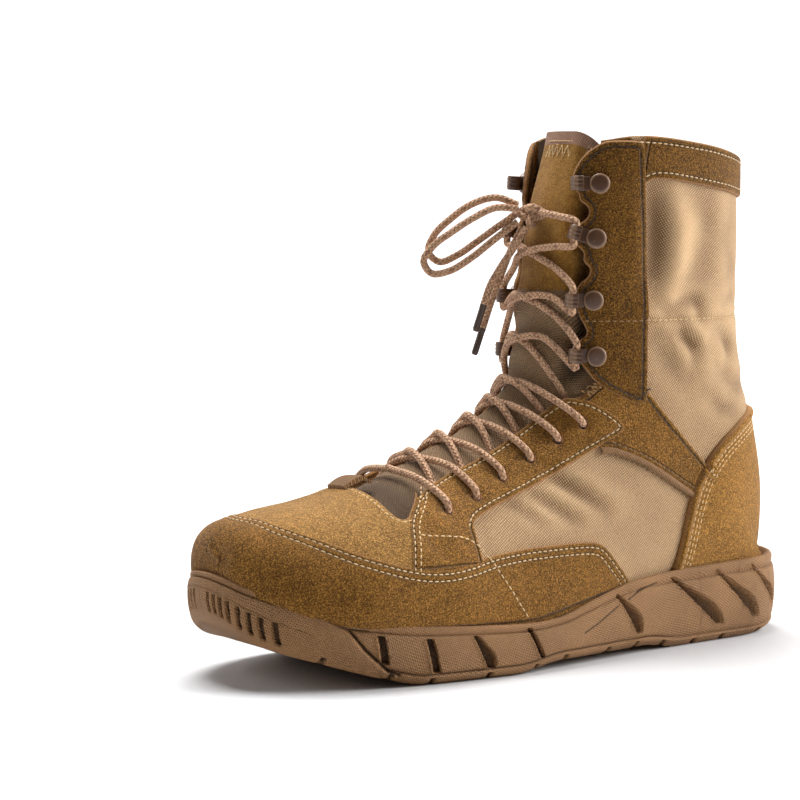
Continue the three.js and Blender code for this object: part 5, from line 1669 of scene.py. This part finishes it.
def strand(sign, over_first):
    """One strand from the bar's middle up to the knot; sign is its first side"""
    first, share = EYELETS[0]
    points = [on_boot(first - 0.020, 0.001, 1.2), on_boot(first - 0.013, sign * share * 0.5, 2.4)]
    side = sign
    for row, (place, share) in enumerate(EYELETS):
        points += [
            on_boot(place - 0.003, side * (share - 0.055), 3.7),
            on_boot(place - 0.001, side * (share - 0.018), 3.5),
            on_boot(place, side * share, 1.6),
            on_boot(place + 0.002, side * (share + 0.002), -2.0),
            on_boot(place + 0.007, side * (share - 0.05), -4.0),
            on_boot(place + 0.014, side * (throat_curve(place) - 0.015), -3.0),
        ]
        if row < len(EYELETS) - 1:
            following, next_share = EYELETS[row + 1]
            over = (row % 2 == 0) == over_first
            start = (place + 0.016, side * (throat_curve(place) - 0.05))
            points += crossing(start, (following - 0.003, -side * (next_share - 0.06)), over)
            side = -side
    for step, i in enumerate((3, 2, 1)):
        name = "lateral" if -side < 0 else "medial"
        base, out, forward, up = hook_frames[name][i]
        mouth = base + forward * (HOOK_REACH - 3.2) + out * 3.2
        over = (step % 2 == 0) == over_first
        hook_place = HOOKS[i][0]
        if step == 0:
            start = (EYELETS[-1][0] + 0.020, side * 0.15)
        else:
            start = (HOOKS[i + 1][0] + 0.010, side * 0.12)
        end = (hook_place - 0.016, -side * 0.11)
        for t in (0.15, 0.4, 0.6, 0.85):
            p, d = start[0] + (end[0] - start[0]) * t, start[1] + (end[1] - start[1]) * t
            points.append(on_boot(p, d, 0.4 + (3.3 if over else 0.0) * hump(d, 0, 0.08)))
        points += [mouth - up * 5.6 - forward * 0.6, mouth - up * 2.6 + forward * 0.2, mouth + up * 2.6 + forward * 0.2]
        if i > 1:
            points.append(mouth + up * 5.0 - forward * 0.4)
        side = -side
    points.append(mouth + up * 4.8 + forward * 1.0)
    end = knot_centre + np.array([0.6, side * 6.0, 1.0])
    points.append((points[-1] + end) / 2 + np.array([-1.2, 0, 0.6]))
    points.append(end)
    return smooth_path(points, 0.8)


KNOT_LIFT = 5.0
knot_centre = sample(table, np.array([0.925]), np.array([0.002]))[0]
knot_normal = sample(normals, np.array([0.925]), np.array([0.002]))[0]
knot_centre = knot_centre + knot_normal * (KNOT_LIFT - WALL)
laces = []
for name, sign, over in (("lateral", -1, True), ("medial", 1, False)):
    laces.append(tube(f"lace_strand_{name}", strand(sign, over), LACE / 2, 14, material=lace_braid))
settle(laces[0], "lace", "lace_bar", *[f"lace_cross_{i}" for i in range(1, 9)], "lace_tie_lateral")
settle(laces[1], "lace", "lace_tie_medial")

t = np.linspace(0, 2 * np.pi, 160)
wrap = np.stack([
    -1.0 * np.sin(3 * t) * 3.0,
    (np.sin(t) + 2 * np.sin(2 * t)) * 1.9,
    (np.cos(t) - 2 * np.cos(2 * t)) * 1.6,
], -1)
knot = tube("lace_knot_tied", knot_centre + wrap, LACE / 2, 14, material=lace_braid)
settle(knot, "lace", "lace_knot")

FREE_WAY, FREE_ACROSS = np.array([-0.8, 0.6, 0]), np.array([0.6, 0.8, 0])
FREE = {
    "lace_loop_a": [
        [5.9, -1.5, 2.5], [16, -3, 3], [26, -4, -1.5], [36, -4, -8], [44, -3.5, -14], [48.5, -3, -21], [45, -3, -26.5],
        [37, -3, -25.5], [27, -3, -19.5], [17, -2.5, -11.5], [6.2, -1.5, -3.4],
    ],
    "lace_loop_b": [
        [6, 2, 4.2], [16, 3, 7.5], [27, 3, 4.5], [37, 3, -2.5], [44, 3, -9.5], [46.5, 2.5, -17], [41.5, 2, -21.5],
        [33.5, 2, -18.5], [24, 2, -12], [15, 2, -5.5], [7.2, 1.9, -0.2],
    ],
    "lace_end_a": [[2.4, -2.5, -5.9], [8, -4, -15], [14, -4.5, -24], [18.5, -4.5, -32], [21.5, -4, -41]],
    "lace_end_b": [[4.2, 2, -6], [10, 3, -18], [14.5, 3, -30], [18.5, 2.5, -41], [22, 2, -52]],
}


def free_points(rows):
    return np.array([knot_centre + FREE_WAY * o + FREE_ACROSS * c + np.array([0, 0, r]) for o, c, r in rows])


for name, rows in FREE.items():
    path = smooth_path(free_points(rows), 0.8)
    obj = tube(name + "_cord", path, LACE / 2, 14, material=lace_braid)
    settle(obj, "lace", name)
    if name.startswith("lace_end"):
        end = name[-1]
        tip = path[-1]
        way = (path[-1] - path[-4]) / np.linalg.norm(path[-1] - path[-4])
        line = np.array([tip + way * d for d in np.linspace(-0.6, 12.2, 22)])
        shrink = np.interp(np.arange(22), [0, 2, 3, 19, 21], [1.02, 1.02, 0.94, 0.94, 0.7])
        aglet = tube(f"aglet_{end}_tip", line, LACE / 2, 16, material=aglet_paint, scale=shrink)
        settle(aglet, "aglet", f"aglet_{end}")


# Stitches
def stitch_tree():
    tree = bpy.data.node_groups.new("stitch_rows", "GeometryNodeTree")
    face = tree.interface
    face.new_socket("Geometry", in_out="INPUT", socket_type="NodeSocketGeometry")
    for label, value in (("Pitch", 0.0029), ("Stitch Length", 0.0022), ("Thickness", 0.0007)):
        socket = face.new_socket(label, in_out="INPUT", socket_type="NodeSocketFloat")
        socket.default_value = value
    face.new_socket("Thread", in_out="INPUT", socket_type="NodeSocketMaterial")
    face.new_socket("Geometry", in_out="OUTPUT", socket_type="NodeSocketGeometry")
    nodes, link = tree.nodes, tree.links.new
    start, end = nodes.new("NodeGroupInput"), nodes.new("NodeGroupOutput")
    points = nodes.new("GeometryNodeCurveToPoints")
    points.mode = "LENGTH"
    link(start.outputs["Geometry"], points.inputs["Curve"])
    link(start.outputs["Pitch"], points.inputs["Length"])
    ball = nodes.new("GeometryNodeMeshUVSphere")
    ball.inputs["Segments"].default_value = 6
    ball.inputs["Rings"].default_value = 4
    ball.inputs["Radius"].default_value = 0.5
    align = nodes.new("FunctionNodeAlignRotationToVector")
    align.axis = "Z"
    link(points.outputs["Tangent"], align.inputs["Vector"])
    size = nodes.new("ShaderNodeCombineXYZ")
    link(start.outputs["Thickness"], size.inputs[0])
    link(start.outputs["Thickness"], size.inputs[1])
    link(start.outputs["Stitch Length"], size.inputs[2])
    place = nodes.new("GeometryNodeInstanceOnPoints")
    link(points.outputs["Points"], place.inputs["Points"])
    link(ball.outputs["Mesh"], place.inputs["Instance"])
    link(align.outputs["Rotation"], place.inputs["Rotation"])
    link(size.outputs[0], place.inputs["Scale"])
    real = nodes.new("GeometryNodeRealizeInstances")
    link(place.outputs["Instances"], real.inputs["Geometry"])
    smooth = nodes.new("GeometryNodeSetShadeSmooth")
    link(real.outputs["Geometry"], smooth.inputs["Geometry"])
    paint_it = nodes.new("GeometryNodeSetMaterial")
    link(smooth.outputs["Geometry"], paint_it.inputs["Geometry"])
    link(start.outputs["Thread"], paint_it.inputs["Material"])
    link(paint_it.outputs["Geometry"], end.inputs["Geometry"])
    return tree


stitch_rows = stitch_tree()


def sew(name, paths, material, slot, pitch=2.9, length=2.3, thick=0.75):
    """Stitches along paths, as one mesh"""
    curve = bpy.data.curves.new(name + "_path", "CURVE")
    curve.dimensions = "3D"
    for path in paths:
        spline = curve.splines.new("POLY")
        spline.points.add(len(path) - 1)
        spline.points.foreach_set("co", np.c_[path * MM, np.ones(len(path))].ravel())
    carrier = bpy.data.objects.new(name + "_path", curve)
    bpy.context.collection.objects.link(carrier)
    modifier = carrier.modifiers.new("stitches", "NODES")
    modifier.node_group = stitch_rows
    names = {s.name: s.identifier for s in stitch_rows.interface.items_tree if s.in_out == "INPUT"}
    modifier[names["Pitch"]] = pitch * MM
    modifier[names["Stitch Length"]] = length * MM
    modifier[names["Thickness"]] = thick * MM
    modifier[names["Thread"]] = material
    evaluated = carrier.evaluated_get(bpy.context.evaluated_depsgraph_get())
    mesh = bpy.data.meshes.new_from_object(evaluated)
    obj = bpy.data.objects.new(name, mesh)
    bpy.context.collection.objects.link(obj)
    bpy.data.objects.remove(carrier)
    if not mesh.materials:
        mesh.materials.append(material)
    return settle(obj, slot)


def seam(rows, inset, lift, back=False, side=1, mirror=False, smooth=1):
    """A stitch path beside a line on the flat map"""
    line = even(softened(rows, smooth, closed=False), 1.0)
    if inset:
        line = moved_in(line, inset, back, side=side)
        for _ in range(int(2 * inset)):
            line[1:-1] = 0.25 * line[:-2] + 0.5 * line[1:-1] + 0.25 * line[2:]
    if mirror:
        line = other_side(line)
    return skin(line, lift, back)


def seams(rows, insets, lift, back=False, side=1, smooth=1):
    result = []
    for inset in insets:
        result += [seam(rows, inset, lift, back, side, m, smooth) for m in (False, True)]
    return result


def inward(rows, outline, back=False):
    """Which way moved_in takes this stretch of an outline inwards"""
    line = even(softened(rows, 1, closed=False), 2.0)
    test = moved_in(line, 2.0, back, side=1)
    share = np.mean(inside(test, outline))
    return 1 if share > 0.5 else -1


rand_top = rand_edge[:-3]
way = inward(rand_top, rand_outline)
stay_low = drawn(STAY_REAR[1:])
way_stay = inward(stay_low, stay_outline)
way_front = inward(stay_front[1:-1], stay_outline)
way_throat = inward(stay_throat, stay_outline)
pale = []
full_rand = both(np.vstack([rand_ridge - [0, 0.5], rand_edge[:-1]])[::-1])
full_way = inward(full_rand, rand_outline)
for inset in (2.4, 5.2):
    pale.append(seam(full_rand, inset, 2.0, side=full_way, smooth=2))
pale += seams(stay_low, (2.4,), 1.85, side=way_stay)
pale += seams(stay_front[1:-1], (2.4, 5.0), 1.85, side=way_front)
pale += seams(stay_throat, (2.4,), 1.85, side=way_throat)
edge_line = even(softened(COUNTER[1:], 2, closed=False), 1.5)
edge_way = np.gradient(edge_line, axis=0)
edge_way /= np.linalg.norm(edge_way, axis=1, keepdims=True)
for inset in (4.6, 6.6, 8.6):
    beside = edge_line + inset * np.stack([edge_way[:, 1], -edge_way[:, 0]], -1)
    pale += seams(flat_at(beside[beside[:, 0] < 141], back=True), (0,), 1.95, back=True)
band_line = band_low[:-4]
way_band = inward(band_line, band_outline, back=True)
pale += seams(band_line, (2.8,), 1.75, back=True, side=way_band)
way_collar = inward(band_top, band_outline, back=True)
pale += seams(band_top, (3.0,), 1.75, back=True, side=way_collar)
throat_edge_front = to_flat([0.385, 0.352, 0.335, 0.333, 0.333], [-0.36, -0.42, -0.38, -0.2, 0.0])
pale += seams(throat_edge_front, (2.6,), 1.65, side=inward(throat_edge_front, vamp_outline))
shaft_seam = flat_at([(x, SEAM_HEIGHT) for x in (56, 75, 95, 115, 128)])
pale += seams(shaft_seam, (0,), 0.35)
rand_cross = flat_at([(-39.2, 49.5), (-33, 40), (-27, 31), (-22.8, 24.7)])
pale += seams(rand_cross, (0,), 2.1)
extra_line = flat_at([(-69.5, 61.2), (-58, 60), (-49, 59), (-43, 55), (-40.6, 51)])
pale += seams(extra_line, (0,), 1.9)
sew("pale_stitches", pale, pale_thread, "suede")

dark = []
facing_closed = drawn(facing_outline_xz, closed=True, spacing=1.6)
facing_way = turned_in(facing_closed)
ring = even(facing_closed, 1.0, closed=True)
ring = np.vstack([ring, ring[:1]])
for mirror in (False, True):
    line = moved_in(ring, 2.8, side=facing_way)
    dark.append(skin(other_side(line) if mirror else line, 2.0))
ankle_top_line = drawn([(88.2, 84.1), (71.2, 101), (57.2, 116.7)])
dark += seams(ankle_top_line, (2.4,), 1.45, side=inward(ankle_top_line, ankle_outline))
sew("dark_stitches", dark, dark_thread, "suede", thick=0.7)
tan = []
piping_low = drawn(ANKLE_LOW[1:-1])
tan += seams(piping_low, (2.9,), 0.35, side=-inward(piping_low, ankle_outline))
tan += seams(piping_low, (2.2,), 1.45, side=inward(piping_low, ankle_outline))
facing_seam = flat_at([(x, SEAM_HEIGHT) for x in (29, 40, 54.5)])
tan += seams(facing_seam, (0,), 2.15)
tack = []
for k in range(10):
    swing = 1.3 if k % 2 else -1.3
    tack.append((28 + 0.5 * k + swing, 116.5 + 0.5 * k - swing))
tan += seams(flat_at(tack), (0,), 1.75, smooth=0)
sew("tan_stitches", tan, tan_thread, "suede")

tongue_sewn = []
wave = np.arange(-15, 16)
zig = to_flat(np.where(wave % 2 == 0, 0.9835, 0.9745), wave * 0.0125)


def on_tongue(flat, lift):
    place, down = from_flat(flat)
    return lean_back(skin(flat, lift - WALL - GAP, folds=False), np.abs(down) / tongue_width(place))


tongue_sewn.append(on_tongue(even(zig, 0.8), 0.25))
tongue_sewn.append(on_tongue(to_flat(np.full(60, 0.9865), np.linspace(-0.2, 0.2, 60)), 0.25))
sew("tongue_zigzag", tongue_sewn, pale_thread, "suede", pitch=1.5, length=1.7, thick=0.5)
seam_place = np.interp(TONGUE_SEAM + 1.6, table[:, COLUMNS, 2], places)
seam_line = to_flat(np.full(90, seam_place), np.linspace(-0.28, 0.28, 90))
sew("tongue_seam", [on_tongue(seam_line, 0.2)], pale_thread, "suede")

# Floor, backdrop and light
def stage_sheet():
    profile = [(-3.0, 0.0), (2.2, 0.0)]
    for i in range(1, 13):
        angle = math.pi / 2 * i / 12
        profile.append((2.2 + 1.2 * math.sin(angle), 1.2 - 1.2 * math.cos(angle)))
    profile.append((3.4, 5.0))
    to_back, to_side = -back_way, right_way
    vertices, faces = [], []
    for along, height in profile:
        for side in (-5.0, 5.0):
            p = to_back * along + to_side * side
            vertices.append((p[0], p[1], height - 0.0001))
    for k in range(len(profile) - 1):
        faces.append([2 * k, 2 * k + 1, 2 * k + 3, 2 * k + 2])
    mesh = bpy.data.meshes.new("floor")
    mesh.from_pydata(vertices, [], faces)
    mesh.shade_smooth()
    floor = bpy.data.objects.new("floor", mesh)
    bpy.context.collection.objects.link(floor)
    finish = Finish("pale_floor", roughness=0.85, specular=0.1)
    finish.shader.inputs["Base Color"].default_value = (0.68, 0.68, 0.69, 1)
    parts = finish.node("SeparateXYZ", None, {0: finish.place()})
    x, y, z = [Value(finish.tree, socket) for socket in parts.outputs]
    along = x * float(-back_way[0]) + y * float(-back_way[1])
    far = along.between(0.35, 1.2).math("MAXIMUM", z.between(0.05, 0.4))
    glow = finish.mix(far, (0.0, 0.0, 0.0), (1.0, 1.0, 1.0))
    finish.tree.links.new(glow, finish.shader.inputs["Emission Color"])
    finish.shader.inputs["Emission Strength"].default_value = 0.75
    dress(floor, finish.material)


stage_sheet()


def lamp(name, place, aim, size, power):
    data = bpy.data.lights.new(name, "AREA")
    data.shape, data.size, data.size_y = "RECTANGLE", size[0], size[1]
    data.energy = power
    obj = bpy.data.objects.new(name, data)
    obj.location = place
    obj.rotation_mode = "QUATERNION"
    obj.rotation_quaternion = (Vector(aim) - Vector(place)).to_track_quat("-Z", "Y")
    bpy.context.collection.objects.link(obj)


def seen(along, side, height):
    """A place given from the camera's own view: away from it, to its right, up"""
    return tuple(-back_way * along + right_way * side + np.array([0, 0, height]))


# Name, place as seen, aim, size in metres, power in watts
LAMPS = [
    ("top_light", (0.45, -0.3, 1.85), (0, 0, 0.05), (1.2, 1.0), 58),
    ("right_light", (0.15, 1.5, 0.85), (0.05, 0, 0.12), (0.8, 1.1), 38),
    ("left_light", (-0.2, -1.5, 0.9), (-0.05, 0, 0.06), (0.9, 0.9), 6),
]
for name, where, aim, size, power in LAMPS:
    lamp(name, seen(*where), aim, size, power)
world = bpy.data.worlds.new("studio")
world.use_nodes = True
sky = world.node_tree.nodes["Background"].inputs
sky[0].default_value, sky[1].default_value = (1, 1, 1, 1), 0.1
bpy.context.scene.world = world
bpy.context.scene.view_settings.view_transform = "Standard"
bpy.context.scene.view_settings.look = "None"
